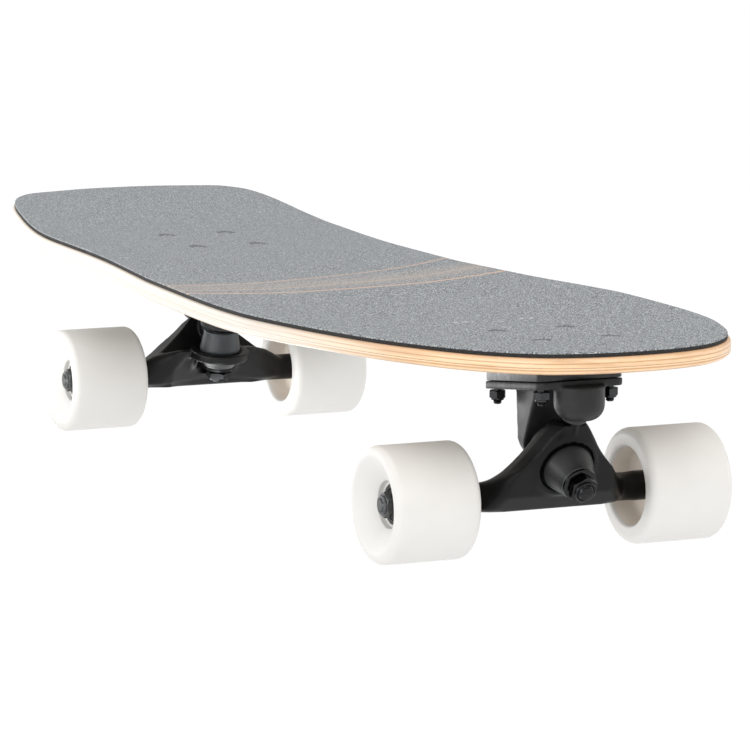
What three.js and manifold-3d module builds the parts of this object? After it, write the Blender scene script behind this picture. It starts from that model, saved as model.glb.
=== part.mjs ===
// Surf skateboard: a wide kicktail deck with a foam-backed grip sheet, a surf-style front truck,
// a stiffer rear truck and four wheels on ball bearings.
// Millimetres. +X points to the nose, +Y to the rider's left and +Z up.
// The origin lies on the floor, under the middle of the deck.
import * as THREE from 'three';
import { mergeVertices } from 'three/addons/utils/BufferGeometryUtils.js';
import Module from 'manifold-3d';

const wasm = await Module();
wasm.setup();

// Numbers of sides and steps
const roundSides = 28;
const smallSides = 20;
const tinySides = 12;
const bearingSides = 16;
const hexSides = 6;
const outlineSteps = 44;
const sheetColumns = 6;
const cornerSteps = 2;
const plateCornerSteps = 3;
const noseSteps = 3;
const bowlSteps = 5;
const legSteps = 6;
const riserSteps = 6;
const archSteps = 16;

// Clearances
const seatGap = 0.3; // between pieces that rest on each other
const holeGap = 0.4; // round a screw or an axle in its hole
const swingGap = 1.2; // between the steering parts and what they swing past
const cutOverrun = 3; // how far a cutting shape runs past the faces that it cuts

// Deck
const wheelbase = 492;
const noseOverhang = 113; // of the deck, ahead of the front axle
const tailOverhang = 157; // of the deck, behind the rear axle
const deckLength = tailOverhang + wheelbase + noseOverhang;
const deckWidth = 240;
const deckThickness = 10.5;
const deckEdgeRadius = 2.8;
const concaveDepth = 3.2; // how far the side edges rise above the middle
const concaveFlatWidth = 80; // the level strip along the middle
const noseRise = 10;
const noseFlatEnd = 20; // where the level middle ends, ahead of the origin
const tailFlatEnd = 60; // where the level middle ends, behind the origin
const tailRise = 9;
const kickRise = 13.4; // how much higher the kicktail lifts the tail
const kickClearance = 16; // from the rear axle back to where the kicktail's curve starts
const kickBlend = 60; // length of the curve into the kicktail

// Grip sheet
const gripThickness = 2.6;
const gripInset = 1.8;
const gripEdgeRadius = 0.8;

// Wheels and bearings
const wheelRadius = 32.5;
const wheelWidth = 51;
const wheelTrack = 153.6; // between the middles of a pair of wheels
const wheelOuterEdge = 4.5;
const wheelInnerEdge = 5;
const bearingRadius = 11;
const bearingWidth = 7;
const bearingBoreRadius = 4;
const bearingEdge = 0.5;
const bearingRing = 2.1; // thickness of its two rings
const shieldDepth = 0.4; // of the shields, below the rings' faces
const outerHubRadius = bearingRadius + 2;
const innerHubRadius = bearingRadius + 11.3;
const innerHubEdge = 3;
const hubShoulder = 2.4; // how far the wheel stands in over the inner faces of the bearings
const hubChamfer = 0.3;
const hubDish = 8.9; // how far the outer side slopes in from its lip to the hub
const outerBearingDepth = 11.3; // from the wheel's outer face
const bearingSpacing = 10; // between the faces of the two bearings

// Axles
const axleRadius = bearingBoreRadius - seatGap;
const axleEndRadius = 0.5;
const axleNutHeight = 5.2;
const axleNutFlats = 12.7;
const axleWasherThickness = 1;
const axleWasherRadius = 6.4;
const axleEndProud = 0.6; // how far the axle stands out of its nut

// How the trucks are fastened
const screwRowSpacing = 54;
const screwSideSpacing = 41.3;
const patternForward = 12; // the screw pattern's middle, ahead of the axle
const screwRadius = 2.4;
const screwHeadRadius = 4.6;
const screwHeadHeight = 2.8;
const screwHeadSink = 0.5; // below the deck's top
const screwEndProud = 1.5;
const nutFlats = 8.6;
const nutHeight = 5.4;
const nutClearance = 1.7; // between a nut's corners and what stands on the baseplate beside it

// Baseplates and risers
const plateEndMargin = 8; // of the plate, past the rows of screws
const plateSideMargin = 5.35;
const plateLength = screwRowSpacing + 2 * plateEndMargin;
const plateWidth = screwSideSpacing + 2 * plateSideMargin;
const plateThickness = 4.3;
const frontRiserHeight = 12; // at the middle of the screw pattern, with its two seat gaps
const plateCorner = 5;
const riserInset = 0.5;

// Hangers
const armRadius = 8.4;
const pivotNoseRadius = 5.2;
const pivotCupWall = 1.6;
const pivotCupRecess = 0.8; // of the cup's mouth in its housing
const pivotCupRoof = 1.5;
const pivotBallDrop = 7; // from the middle of the pivot's housing back to the nose's round end
const kingpinRadius = 4.6;
const ringPlay = 2.4; // between the kingpin and the hanger's ring
const kingpinNutFlats = 14.3;
const kingpinHeadHeight = 5.5;
const kingpinEndDome = 1.6;

const half = (size) => size / 2;
const nutReach = half(nutFlats) / Math.cos(Math.PI / hexSides);
const besideNuts = half(screwSideSpacing) - nutReach - nutClearance; // half the width free between the nuts
const pivotCavityRadius = pivotNoseRadius + holeGap + pivotCupWall + seatGap;

// Front truck, in millimetres ahead of and above its axle
const front = {
  plateTilt: THREE.MathUtils.degToRad(7),
  plateAbovePivot: 3.7, // from the middle of the pivot's housing up to the plate's underside
  ringForward: 24.6,
  ringUp: 21,
  kingpinTurn: THREE.MathUtils.degToRad(-65), // from straight up, towards the tail
  pivotTurn: THREE.MathUtils.degToRad(25), // from straight up, towards the nose
  pivotReach: 43.6, // from the ring's middle to the middle of the pivot's housing
  pivotHousingRadius: besideNuts,
  pivotHousingFillet: 9, // round the bottom of the pivot's housing
  ringHalf: 6,
  ringRim: 2.7, // of the ring, round its bushing seats
  seatDepth: 2,
  seatPlay: 1.6, // round the bushings in their seats
  boardBushing: 15,
  boardBushingWide: 14,
  boardBushingNarrow: 12,
  roadBushing: 17.6,
  roadBushingWide: 14.2,
  roadBushingNarrow: 10,
  washerRadius: 9.8,
  washerThickness: 1.7,
  nutHeight: 6,
  endProud: 2,
  holdThickness: 10.5, // of the leg, where the kingpin goes through it
  legWidth: 2 * besideNuts,
  legFootDepth: 3.5,
  legTopDepth: 27,
};

// Rear truck, in millimetres ahead of and above its axle
const rear = {
  plateTilt: 0,
  plateAbovePivot: 16.3,
  ringForward: 24.5,
  ringUp: 14,
  kingpinTurn: THREE.MathUtils.degToRad(8.5),
  pivotTurn: THREE.MathUtils.degToRad(-54),
  pivotReach: 48,
  pivotHousingRadius: pivotCavityRadius + 2.5,
  pivotHousingFillet: 8,
  ringHalf: 4,
  ringRim: 4.8,
  seatDepth: 1.3,
  seatPlay: 1.2,
  boardBushing: 14.2,
  boardBushingWide: 13,
  boardBushingNarrow: 11,
  roadBushing: 7.2,
  roadBushingWide: 12.6,
  roadBushingNarrow: 8.8,
  washerRadius: 9.4,
  washerThickness: 1.5,
  nutHeight: 6,
  endProud: 1.2,
  turretRadius: 13.4,
  headPocketDepth: 7,
  ringNeckWidth: 30,
};

// Colours
const looks = {
  wood: { color: 0xd9b384, roughness: 0.5, metalness: 0 },
  grip: { color: 0x7d8388, roughness: 0.95, metalness: 0 },
  black: { color: 0x1d1d1f, roughness: 0.45, metalness: 0.3 },
  rubber: { color: 0x2a2a2c, roughness: 0.7, metalness: 0 },
  urethane: { color: 0xf2f0ea, roughness: 0.45, metalness: 0 },
  bushing: { color: 0x5c6166, roughness: 0.6, metalness: 0 },
  steel: { color: 0x8d8f92, roughness: 0.35, metalness: 1 },
  darkSteel: { color: 0x303134, roughness: 0.4, metalness: 0.9 },
  cup: { color: 0x17181a, roughness: 0.6, metalness: 0 },
};

const board = new THREE.Group();

// Geometry to solid and back

function signedVolume(positions, index) {
  const a = new THREE.Vector3();
  const b = new THREE.Vector3();
  const c = new THREE.Vector3();
  let sum = 0;
  for (let i = 0; i < index.length; i += 3) {
    a.fromArray(positions, index[i] * 3);
    b.fromArray(positions, index[i + 1] * 3);
    c.fromArray(positions, index[i + 2] * 3);
    sum += a.dot(b.cross(c));
  }
  return sum;
}

function toSolid(geometry) {
  const bare = geometry.clone();
  bare.deleteAttribute('normal');
  bare.deleteAttribute('uv');
  const merged = mergeVertices(bare);
  const positions = merged.attributes.position.array;
  const all = Array.from(merged.index.array);
  const kept = [];
  for (let i = 0; i < all.length; i += 3) {
    const [a, b, c] = all.slice(i, i + 3);
    if (a !== b && b !== c && c !== a) kept.push(a, b, c);
  }
  if (signedVolume(positions, kept) < 0) kept.reverse();
  return new wasm.Manifold(
    new wasm.Mesh({ numProp: 3, vertProperties: positions, triVerts: new Uint32Array(kept) }),
  );
}

function toGeometry(solid) {
  const raw = solid.getMesh();
  const geometry = new THREE.BufferGeometry();
  geometry.setAttribute('position', new THREE.BufferAttribute(raw.vertProperties, 3));
  geometry.setIndex(new THREE.BufferAttribute(raw.triVerts, 1));
  geometry.computeVertexNormals();
  return geometry;
}

const unite = (...solids) => solids.reduce((sum, next) => sum.add(next));
const cut = (solid, ...tools) => tools.reduce((left, tool) => left.subtract(tool), solid);

// Primitive shapes, as solids

// A body turned about the Z axis, from a closed profile of [radius, height] pairs.
function turned(profile, sides = smallSides) {
  const points = [...profile, profile[0]].map(([r, h]) => new THREE.Vector2(r, h));
  const geometry = new THREE.LatheGeometry(points, sides);
  geometry.rotateX(Math.PI / 2);
  return geometry;
}

// A rod, cone or hexagonal bar along Z.
function rod(radius, from, to, sides = smallSides, endRadius = radius) {
  return turned([[0, from], [radius, from], [endRadius, to], [0, to]], sides);
}

function hexBar(flats, from, to) {
  return rod(half(flats) / Math.cos(Math.PI / hexSides), from, to, hexSides);
}

// A [radius, height] arc, for the corners and round ends of turned profiles.
function arc(centreRadius, centreHeight, radius, startTurn, endTurn, steps) {
  return Array.from({ length: steps + 1 }, (_, i) => {
    const turn = startTurn + ((endTurn - startTurn) * i) / steps;
    return [centreRadius + radius * Math.cos(turn), centreHeight + radius * Math.sin(turn)];
  });
}

function extruded(points, depth) {
  const shape = new THREE.Shape(points.map(([u, v]) => new THREE.Vector2(u, v)));
  const geometry = new THREE.ExtrudeGeometry(shape, { depth, bevelEnabled: false });
  geometry.translate(0, 0, -half(depth));
  return geometry;
}

// A side view of [forward, up] points, as wide as given, and even about the XZ plane.
function fromSide(points, width) {
  const geometry = extruded(points, width);
  geometry.rotateX(Math.PI / 2);
  return geometry;
}

// A front view of [left, up] points, as deep as given.
function fromFront(points, depth) {
  const geometry = extruded(points, depth);
  geometry.applyMatrix4(
    new THREE.Matrix4().makeBasis(
      new THREE.Vector3(0, 1, 0),
      new THREE.Vector3(0, 0, 1),
      new THREE.Vector3(1, 0, 0),
    ),
  );
  return geometry;
}

// A plan view of [forward, left] points, as tall as given, and even about the XY plane.
const fromAbove = (points, height) => extruded(points, height);

// Turns a shape about Y, then moves it.
function placed(geometry, turn, x, y, z) {
  geometry.rotateY(turn);
  geometry.translate(x, y, z);
  return geometry;
}

// Lays a shape that stands along Z down along Y.
function alongY(geometry) {
  geometry.rotateX(-Math.PI / 2);
  return geometry;
}

function addPiece(parent, name, geometry, look) {
  const mesh = new THREE.Mesh(geometry, new THREE.MeshStandardMaterial(looks[look]));
  mesh.name = name;
  parent.add(mesh);
  return mesh;
}

// Deck shape

// Half of the deck's outline from the tail's end to the nose's end, as shares of half the length and width.
const outlineShares = [
  [-1, 0], [-0.9985, 0.172], [-0.992, 0.354], [-0.977, 0.55], [-0.957, 0.646], [-0.93, 0.712],
  [-0.89, 0.759], [-0.84, 0.79], [-0.775, 0.817], [-0.7, 0.834], [-0.6, 0.833], [-0.49, 0.825],
  [-0.385, 0.829], [-0.23, 0.864], [-0.07, 0.907], [0.09, 0.949], [0.21, 0.983], [0.3, 0.998],
  [0.34, 1], [0.4, 0.989], [0.5, 0.961], [0.61, 0.918], [0.71, 0.859], [0.79, 0.782],
  [0.865, 0.686], [0.92, 0.574], [0.96, 0.44], [0.983, 0.3], [0.996, 0.157], [1, 0],
];

function outlinePoints() {
  const curve = new THREE.SplineCurve(
    outlineShares.map(([x, y]) => new THREE.Vector2(x * half(deckLength), y * half(deckWidth))),
  );
  return Array.from({ length: outlineSteps + 1 }, (_, i) => {
    const point = curve.getPoint(i / outlineSteps);
    const along = curve.getTangent(i / outlineSteps);
    const out = new THREE.Vector2(-along.y, along.x);
    if (i === 0) out.set(-1, 0);
    if (i === outlineSteps) out.set(1, 0);
    return { point, out };
  });
}

const outline = outlinePoints();

const axleX = { front: half(deckLength) - noseOverhang, rear: tailOverhang - half(deckLength) };
const kickStart = kickClearance - axleX.rear; // behind the origin
const bendPower = 1.5; // how softly the nose and the side edges start to rise

// How far the deck's surface rises above its lowest part.
function deckLift(x, y) {
  const nose = Math.max(0, x - noseFlatEnd) / (half(deckLength) - noseFlatEnd);
  const tail = Math.max(0, -x - tailFlatEnd) / (half(deckLength) - tailFlatEnd);
  const flat = half(concaveFlatWidth);
  const side = Math.max(0, Math.abs(y) - flat) / (half(deckWidth) - flat);
  const past = Math.max(0, -x - kickStart);
  const kickRun = half(deckLength) - kickStart - half(kickBlend);
  const kick = past < kickBlend ? (past * past) / (2 * kickBlend) : past - half(kickBlend);
  const ends = noseRise * nose ** bendPower + tailRise * tail + (kickRise * kick) / kickRun;
  return ends + concaveDepth * side ** bendPower;
}

// From the axles up to the lowest part of the deck's underside.
const rideHeight = plateTop(front, patternForward) + frontRiserHeight
  - deckLift(axleX.front + patternForward, 0);
const deckUnderside = wheelRadius + rideHeight;
const deckTop = deckUnderside + deckThickness;

// A sheet that follows the deck's surface: layers of [inset from the outline, height], bottom to top.
function deckSheet(layers, base) {
  const corners = [];
  const at = (row, column, [inset, height]) => {
    const { point, out } = outline[row];
    const x = point.x - out.x * inset;
    const y = Math.max(0, point.y - out.y * inset) * ((2 * column) / sheetColumns - 1);
    return [x, y, base + deckLift(x, y) + height];
  };
  const face = (a, b, c, d) => corners.push(...a, ...b, ...c, ...a, ...c, ...d);
  const bottom = layers[0];
  const top = layers[layers.length - 1];
  for (let i = 0; i < outlineSteps; i += 1) {
    for (let j = 0; j < sheetColumns; j += 1) {
      face(at(i, j, top), at(i + 1, j, top), at(i + 1, j + 1, top), at(i, j + 1, top));
      face(at(i, j, bottom), at(i, j + 1, bottom), at(i + 1, j + 1, bottom), at(i + 1, j, bottom));
    }
    for (let k = 0; k + 1 < layers.length; k += 1) {
      const [low, high] = [layers[k], layers[k + 1]];
      const left = sheetColumns;
      face(at(i, left, low), at(i, left, high), at(i + 1, left, high), at(i + 1, left, low));
      face(at(i, 0, low), at(i + 1, 0, low), at(i + 1, 0, high), at(i, 0, high));
    }
  }
  const geometry = new THREE.BufferGeometry();
  geometry.setAttribute('position', new THREE.Float32BufferAttribute(corners, 3));
  return toSolid(geometry);
}

// Layers of a sheet with rounded upper and lower edges.
function roundedLayers(thickness, radius, inset) {
  const layers = [];
  for (const [centre, start] of [[radius, -Math.PI / 2], [thickness - radius, 0]]) {
    for (let i = 0; i <= cornerSteps; i += 1) {
      const turn = start + (Math.PI / 2) * (i / cornerSteps);
      layers.push([inset + radius * (1 - Math.cos(turn)), centre + radius * Math.sin(turn)]);
    }
  }
  return layers;
}

// Where the screws of a truck go, as [forward of the axle, left]
const screwPlaces = [];
for (const row of [-1, 1]) {
  for (const side of [-1, 1]) {
    screwPlaces.push([patternForward + row * half(screwRowSpacing), side * half(screwSideSpacing)]);
  }
}

function screwTop(truckX, [forward, left]) {
  return deckTop + deckLift(truckX + forward, left) - screwHeadSink;
}

function buildDeck() {
  let deck = deckSheet(roundedLayers(deckThickness, deckEdgeRadius, 0), deckUnderside);
  for (const truckX of Object.values(axleX)) {
    for (const place of screwPlaces) {
      const top = screwTop(truckX, place);
      const low = top - screwHeadSink - deckThickness - cutOverrun;
      const coneTop = screwHeadRadius + holeGap;
      const coneLow = top - screwHeadHeight;
      const hole = turned([
        [0, low],
        [screwRadius + holeGap, low],
        [screwRadius + holeGap, coneLow],
        [coneTop, top],
        [coneTop, top + cutOverrun],
        [0, top + cutOverrun],
      ], tinySides);
      deck = cut(deck, toSolid(placed(hole, 0, truckX + place[0], place[1], 0)));
    }
  }
  addPiece(board, 'deck', toGeometry(deck), 'wood');
  const edge = roundedLayers(gripThickness, gripEdgeRadius, gripInset).slice(cornerSteps + 1);
  const layers = [[gripInset, 0], ...edge];
  addPiece(board, 'grip_sheet', toGeometry(deckSheet(layers, deckTop + seatGap)), 'grip');
}

// Pieces that both trucks share. Truck coordinates are forward of, left of and above the axle.

const underDeck = (truckX, forward) => rideHeight + deckLift(truckX + forward, 0);

// A point of the truck's side view, from the ring's middle: ahead, and up along the steering axis.
function fromRing(truck, ahead, up) {
  const turn = truck.pivotTurn;
  return [
    truck.ringForward + ahead * Math.cos(turn) + up * Math.sin(turn),
    truck.ringUp - ahead * Math.sin(turn) + up * Math.cos(turn),
  ];
}

// Heights of a baseplate's underside and top above the axle.
function plateUnderside(truck, forward) {
  const [pivotX, pivotZ] = fromRing(truck, 0, truck.pivotReach);
  return pivotZ + truck.plateAbovePivot + Math.tan(truck.plateTilt) * (forward - pivotX);
}

function plateTop(truck, forward) {
  return plateUnderside(truck, forward) + plateThickness / Math.cos(truck.plateTilt);
}

function screwHoles(reach) {
  const radius = screwRadius + holeGap;
  return screwPlaces.map(([x, y]) => toSolid(placed(rod(radius, 0, reach, tinySides), 0, x, y, 0)));
}

function plateOutline(inset) {
  const shape = new THREE.Shape();
  const [x, y] = [half(plateLength) - inset, half(plateWidth) - inset];
  const r = plateCorner - inset;
  shape.moveTo(x - r, -y);
  shape.absarc(x - r, -y + r, r, -Math.PI / 2, 0);
  shape.absarc(x - r, y - r, r, 0, Math.PI / 2);
  shape.absarc(-x + r, y - r, r, Math.PI / 2, Math.PI);
  shape.absarc(-x + r, -y + r, r, Math.PI, (Math.PI * 3) / 2);
  return shape;
}

// A rounded upright block of the plate's outline, cut down to a side view.
function plateBlock(sideView, inset, reach) {
  const geometry = new THREE.ExtrudeGeometry(plateOutline(inset), {
    depth: reach,
    bevelEnabled: false,
    curveSegments: plateCornerSteps,
  });
  geometry.translate(patternForward, 0, 0);
  return toSolid(geometry).intersect(toSolid(fromSide(sideView, plateWidth + cutOverrun)));
}

// A side view that runs past both ends of the plate, between two heights.
function plateSideView(low, high) {
  const reach = half(plateLength) + cutOverrun;
  const places = Array.from(
    { length: riserSteps + 1 },
    (_, i) => patternForward + reach * ((2 * i) / riserSteps - 1),
  );
  const upper = places.slice().reverse().map((x) => [x, high(x)]);
  return [...places.map((x) => [x, low(x)]), ...upper];
}

function addRiser(group, name, truck, truckX) {
  const reach = underDeck(truckX, 0) + plateLength;
  const low = (forward) => plateTop(truck, forward) + seatGap;
  const high = (forward) => underDeck(truckX, forward) - seatGap;
  const block = plateBlock(plateSideView(low, high), riserInset, reach);
  addPiece(group, name, toGeometry(cut(block, ...screwHoles(reach))), 'rubber');
}

// How far up the shapes run that cut through a baseplate from the axle.
const plateReach = (truck) => plateTop(truck, patternForward) + plateLength;

function plateSolid(truck) {
  const low = (forward) => plateUnderside(truck, forward);
  const high = (forward) => plateTop(truck, forward);
  return plateBlock(plateSideView(low, high), 0, plateReach(truck));
}

// The room above a baseplate, which nothing on it may reach into.
function abovePlate(truck) {
  const low = (forward) => plateTop(truck, forward);
  const high = (forward) => low(forward) + plateLength;
  return toSolid(fromSide(plateSideView(low, high), plateWidth + cutOverrun));
}

// Places a shape that stands on the kingpin's line, with Z towards the kingpin's head.
const onKingpin = (truck, geometry) =>
  toSolid(placed(geometry, truck.kingpinTurn, truck.ringForward, 0, truck.ringUp));

// Places a shape that stands on the steering axis, with Z towards the pivot.
const onPivot = (truck, geometry) =>
  toSolid(placed(geometry, truck.pivotTurn, truck.ringForward, 0, truck.ringUp));

// How far the pivot's housing reaches from its middle back along the steering axis.
function housingReach({ pivotTurn, pivotHousingRadius, pivotHousingFillet }) {
  const share = Math.abs(Math.sin(pivotTurn)) + Math.cos(pivotTurn);
  return (pivotHousingRadius - pivotHousingFillet) * share + pivotHousingFillet;
}

function pivotCupSizes(truck) {
  const inner = pivotNoseRadius + holeGap;
  const outer = inner + pivotCupWall;
  const top = truck.pivotReach - pivotBallDrop + pivotNoseRadius + seatGap + pivotCupRoof;
  return { inner, outer, top, mouth: truck.pivotReach - housingReach(truck) + pivotCupRecess };
}

function pivotCavity(truck) {
  const { top } = pivotCupSizes(truck);
  const mouth = truck.pivotReach - housingReach(truck) - cutOverrun;
  return onPivot(truck, rod(pivotCavityRadius, mouth, top + seatGap));
}

function addPivotCup(group, name, truck) {
  const { inner, outer, top, mouth } = pivotCupSizes(truck);
  const roof = top - pivotCupRoof;
  const cup = turned([[inner, mouth], [outer, mouth], [outer, top], [0, top], [0, roof], [inner, roof]]);
  addPiece(group, name, toGeometry(onPivot(truck, cup)), 'cup');
}

// Where the pieces on the kingpin lie, measured from the ring's middle towards the kingpin's head.
function kingpinStack(truck) {
  const seat = truck.ringHalf - truck.seatDepth + seatGap;
  const boardEnd = seat + truck.boardBushing;
  const hold = boardEnd + seatGap + truck.washerThickness + seatGap;
  const roadEnd = -seat - truck.roadBushing;
  const nutTop = roadEnd - seatGap - truck.washerThickness - seatGap;
  const nutEnd = nutTop - truck.nutHeight;
  return { seat, boardEnd, hold, roadEnd, nutTop, nutEnd, end: nutEnd - truck.endProud };
}

// A bushing's side from its wide end: how much of its length, and of the way from narrow to wide.
const bushingShares = [[0, 0.75], [0.125, 1], [0.375, 0.75], [0.875, 0], [1, -0.25]];

function bushingProfile(from, to, wide, narrow) {
  const bore = kingpinRadius + holeGap;
  const side = bushingShares.map(([along, wider]) => [
    narrow + (wide - narrow) * wider,
    from + (to - from) * along,
  ]);
  return [[bore, from], ...side, [bore, to]];
}

function addKingpinPieces(group, prefix, truck, headSeat) {
  const stack = kingpinStack(truck);
  const bore = kingpinRadius + holeGap;
  const add = (name, geometry, look) =>
    addPiece(group, `${prefix}_${name}`, toGeometry(onKingpin(truck, geometry)), look);
  add(
    'board_side_bushing',
    turned(bushingProfile(stack.seat, stack.boardEnd, truck.boardBushingWide, truck.boardBushingNarrow)),
    'bushing',
  );
  add(
    'road_side_bushing',
    turned(bushingProfile(-stack.seat, stack.roadEnd, truck.roadBushingWide, truck.roadBushingNarrow)),
    'bushing',
  );
  const washer = (from) => [
    [bore, from], [truck.washerRadius, from],
    [truck.washerRadius, from + truck.washerThickness], [bore, from + truck.washerThickness],
  ];
  add('board_side_washer', turned(washer(stack.boardEnd + seatGap)), 'darkSteel');
  add('road_side_washer', turned(washer(stack.nutTop + seatGap)), 'darkSteel');
  const nut = cut(
    onKingpin(truck, hexBar(kingpinNutFlats, stack.nutTop, stack.nutEnd)),
    onKingpin(truck, rod(bore, stack.nutTop + cutOverrun, stack.nutEnd - cutOverrun)),
  );
  addPiece(group, `${prefix}_kingpin_nut`, toGeometry(nut), 'darkSteel');
  const shank = turned([
    [0, headSeat + seatGap + half(kingpinHeadHeight)],
    [kingpinRadius, headSeat + seatGap + half(kingpinHeadHeight)],
    [kingpinRadius, stack.end + kingpinEndDome],
    [half(kingpinRadius), stack.end],
    [0, stack.end],
  ]);
  const head = hexBar(kingpinNutFlats, headSeat + seatGap, headSeat + seatGap + kingpinHeadHeight);
  const kingpin = unite(onKingpin(truck, shank), onKingpin(truck, head));
  addPiece(group, `${prefix}_kingpin`, toGeometry(kingpin), 'darkSteel');
}

// The round end of a hanger that turns in the pivot cup.
function pivotNose(truck, from) {
  const tip = arc(0, truck.pivotReach - pivotBallDrop, pivotNoseRadius, 0, Math.PI / 2, noseSteps);
  return onPivot(truck, turned([[0, from], [pivotNoseRadius, from], ...tip]));
}

const armHalf = half(wheelTrack) + half(wheelWidth) - outerBearingDepth - 2 * bearingWidth
  - bearingSpacing - seatGap;

function armSolid() {
  return toSolid(alongY(rod(armRadius, -armHalf, armHalf)));
}

const seatRadius = (truck) => Math.max(truck.boardBushingWide, truck.roadBushingWide) + truck.seatPlay;

function ringSolid(truck) {
  const radius = seatRadius(truck) + truck.ringRim;
  return onKingpin(truck, rod(radius, -truck.ringHalf, truck.ringHalf, roundSides));
}

// What every hanger has cut out of it: the axle's hole, the kingpin's hole and the bushing seats.
function hangerCuts(truck) {
  const reach = armHalf + cutOverrun;
  const ringReach = truck.ringHalf + cutOverrun;
  const seat = truck.ringHalf - truck.seatDepth;
  return [
    toSolid(alongY(rod(axleRadius + holeGap, -reach, reach, tinySides))),
    onKingpin(truck, rod(kingpinRadius + ringPlay, -ringReach, ringReach)),
    onKingpin(truck, rod(seatRadius(truck), seat, ringReach + truck.boardBushing)),
    onKingpin(truck, rod(seatRadius(truck), -seat, -ringReach - truck.roadBushing)),
  ];
}

// Front truck

const innerWheelFace = half(wheelTrack) - half(wheelWidth);
const archHalfWidth = innerWheelFace - 3.3;
// Half of the front hanger's arch, seen from the front, as shares of its half width and of its height
const archFootShares = [[0.86, -0.16], [1, -0.1]];
const archShares = [
  [1, 0.12], [0.9, 0.17], [0.78, 0.25], [0.62, 0.39], [0.47, 0.58], [0.34, 0.78], [0.225, 0.94], [0.15, 1],
];
const endShare = 0.6; // of the arm's radius: how far ahead a hanger's web still reaches where it ends
const archBackShares = [[0.33, 1], [-0.5, 0.5], [0, -1]]; // its side view behind the web, of the arm's radius
const archAhead = 4.6; // of the arch's thickness, ahead of the ring's middle
const archBehind = 9.4;
const archFoot = 13; // how far ahead of the axle the arch's lower edge reaches
const archFootRise = 1.8; // of that edge, above the underside of the arms
const archFlatHalf = 20; // half of the width over which the foot reaches that far

function mirrored(points) {
  return [...points, ...points.slice().reverse().map(([u, v]) => [-u, v])];
}

// A hanger's web, seen from above: full depth in the middle, running out into the arms.
function webPlan(flatHalf, depth, halfWidth) {
  const ends = [[halfWidth, armRadius * endShare], [halfWidth, -armRadius]];
  return mirrored([[flatHalf, depth], ...ends]).map(([left, forward]) => [forward, left]);
}

// A smooth line through points.
function smooth(points, steps) {
  const curve = new THREE.SplineCurve(points.map(([u, v]) => new THREE.Vector2(u, v)));
  return curve.getPoints(steps).map((point) => [point.x, point.y]);
}

function addFrontHanger(group) {
  const archTop = front.pivotReach - housingReach(front) - swingGap;
  const [, archHeight] = fromRing(front, 0, archTop);
  const low = -seatRadius(front) - front.ringRim;
  const sideView = [
    [archFoot, archFootRise - armRadius], fromRing(front, archAhead, low),
    fromRing(front, archAhead, archTop), fromRing(front, -archBehind, archTop),
    fromRing(front, -archBehind, half(low)),
    ...archBackShares.map(([x, z]) => [x * armRadius, z * armRadius]),
  ];
  const onArch = ([y, z]) => [y * archHalfWidth, z * archHeight];
  const frontView = mirrored([...archFootShares.map(onArch), ...smooth(archShares.map(onArch), archSteps)]);
  const [tipX] = fromRing(front, archAhead, archTop);
  const planView = webPlan(archFlatHalf, tipX, archHalfWidth);
  const size = plateLength + plateWidth;
  const arch = toSolid(fromSide(sideView, size))
    .intersect(toSolid(fromFront(frontView, size)))
    .intersect(toSolid(fromAbove(planView, size)));
  const body = unite(arch, armSolid(), ringSolid(front), pivotNose(front, half(archTop)));
  addPiece(group, 'front_hanger', toGeometry(cut(body, ...hangerCuts(front))), 'black');
}

// The round housing of the pivot, which rises into the plate.
function pivotHousing(truck) {
  const radius = truck.pivotHousingRadius;
  const fillet = truck.pivotHousingFillet;
  const [pivotX, pivotZ] = fromRing(truck, 0, truck.pivotReach);
  const rise = truck.plateAbovePivot + half(plateThickness);
  const bowl = arc(radius - fillet, fillet - radius, fillet, -Math.PI / 2, 0, bowlSteps);
  const housing = turned([[0, -radius], ...bowl, [radius, rise], [0, rise]], roundSides);
  return toSolid(placed(housing, 0, pivotX, 0, pivotZ));
}

function addFrontBaseplate(group) {
  const { hold } = kingpinStack(front);
  const headSeat = hold + front.holdThickness;
  const top = plateUnderside(front, patternForward) + half(plateThickness);
  // The leg that holds the kingpin, seen from the side
  const [faceX, faceZ] = fromRing(front, -hold, 0);
  const slope = Math.tan(front.pivotTurn);
  const legTop = top - faceZ;
  const legBottom = -half(front.legWidth) - cutOverrun;
  const [lowX, lowZ] = fromRing(front, -headSeat, 0);
  const sideView = [
    [faceX + legBottom * slope, faceZ + legBottom],
    [faceX + legTop * slope, faceZ + legTop],
    [faceX + legTop * slope - front.legTopDepth, faceZ + legTop],
    [lowX, lowZ],
    [faceX + legBottom * slope - front.legFootDepth, faceZ + legBottom],
  ];
  const legOutline = mirrored([
    ...arc(0, 0, half(front.legWidth), -Math.PI / 2, 0, legSteps).slice(1),
    [half(front.legWidth), plateLength],
  ]);
  const legFront = fromFront(legOutline, 2 * plateLength);
  const leg = toSolid(fromSide(sideView, plateWidth)).intersect(onPivot(front, legFront));
  const body = unite(plateSolid(front), leg, pivotHousing(front));
  const cuts = [
    abovePlate(front),
    pivotCavity(front),
    onKingpin(front, rod(kingpinRadius + holeGap, hold - cutOverrun, headSeat + plateLength)),
    onKingpin(front, rod(half(kingpinNutFlats) + cutOverrun, headSeat, headSeat + half(plateLength))),
    ...screwHoles(plateReach(front)),
  ];
  addPiece(group, 'front_baseplate', toGeometry(cut(body, ...cuts)), 'black');
  return headSeat;
}

// Rear truck

const wingHalfWidth = innerWheelFace - 5.3;
// Half of the rear hanger's wings, seen from the front, as shares of their half width and of their height
const wingFootShares = [[0.86, -0.2], [1, -0.12]];
const wingShares = [[1, 0.16], [0.86, 0.28], [0.64, 0.47], [0.4, 0.7], [0.2, 0.93], [0.14, 1]];
const wingFlatHalf = 27; // half of the width over which the web is at its deepest
const wingHalf = 4.6;
const beamHeight = 9.6; // of the beam's upper edge above the axle
const beamBackShares = [[-1, 0.5], [-0.5, -1], [1, -1]]; // its side view at the back, of the arm's radius

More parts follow.
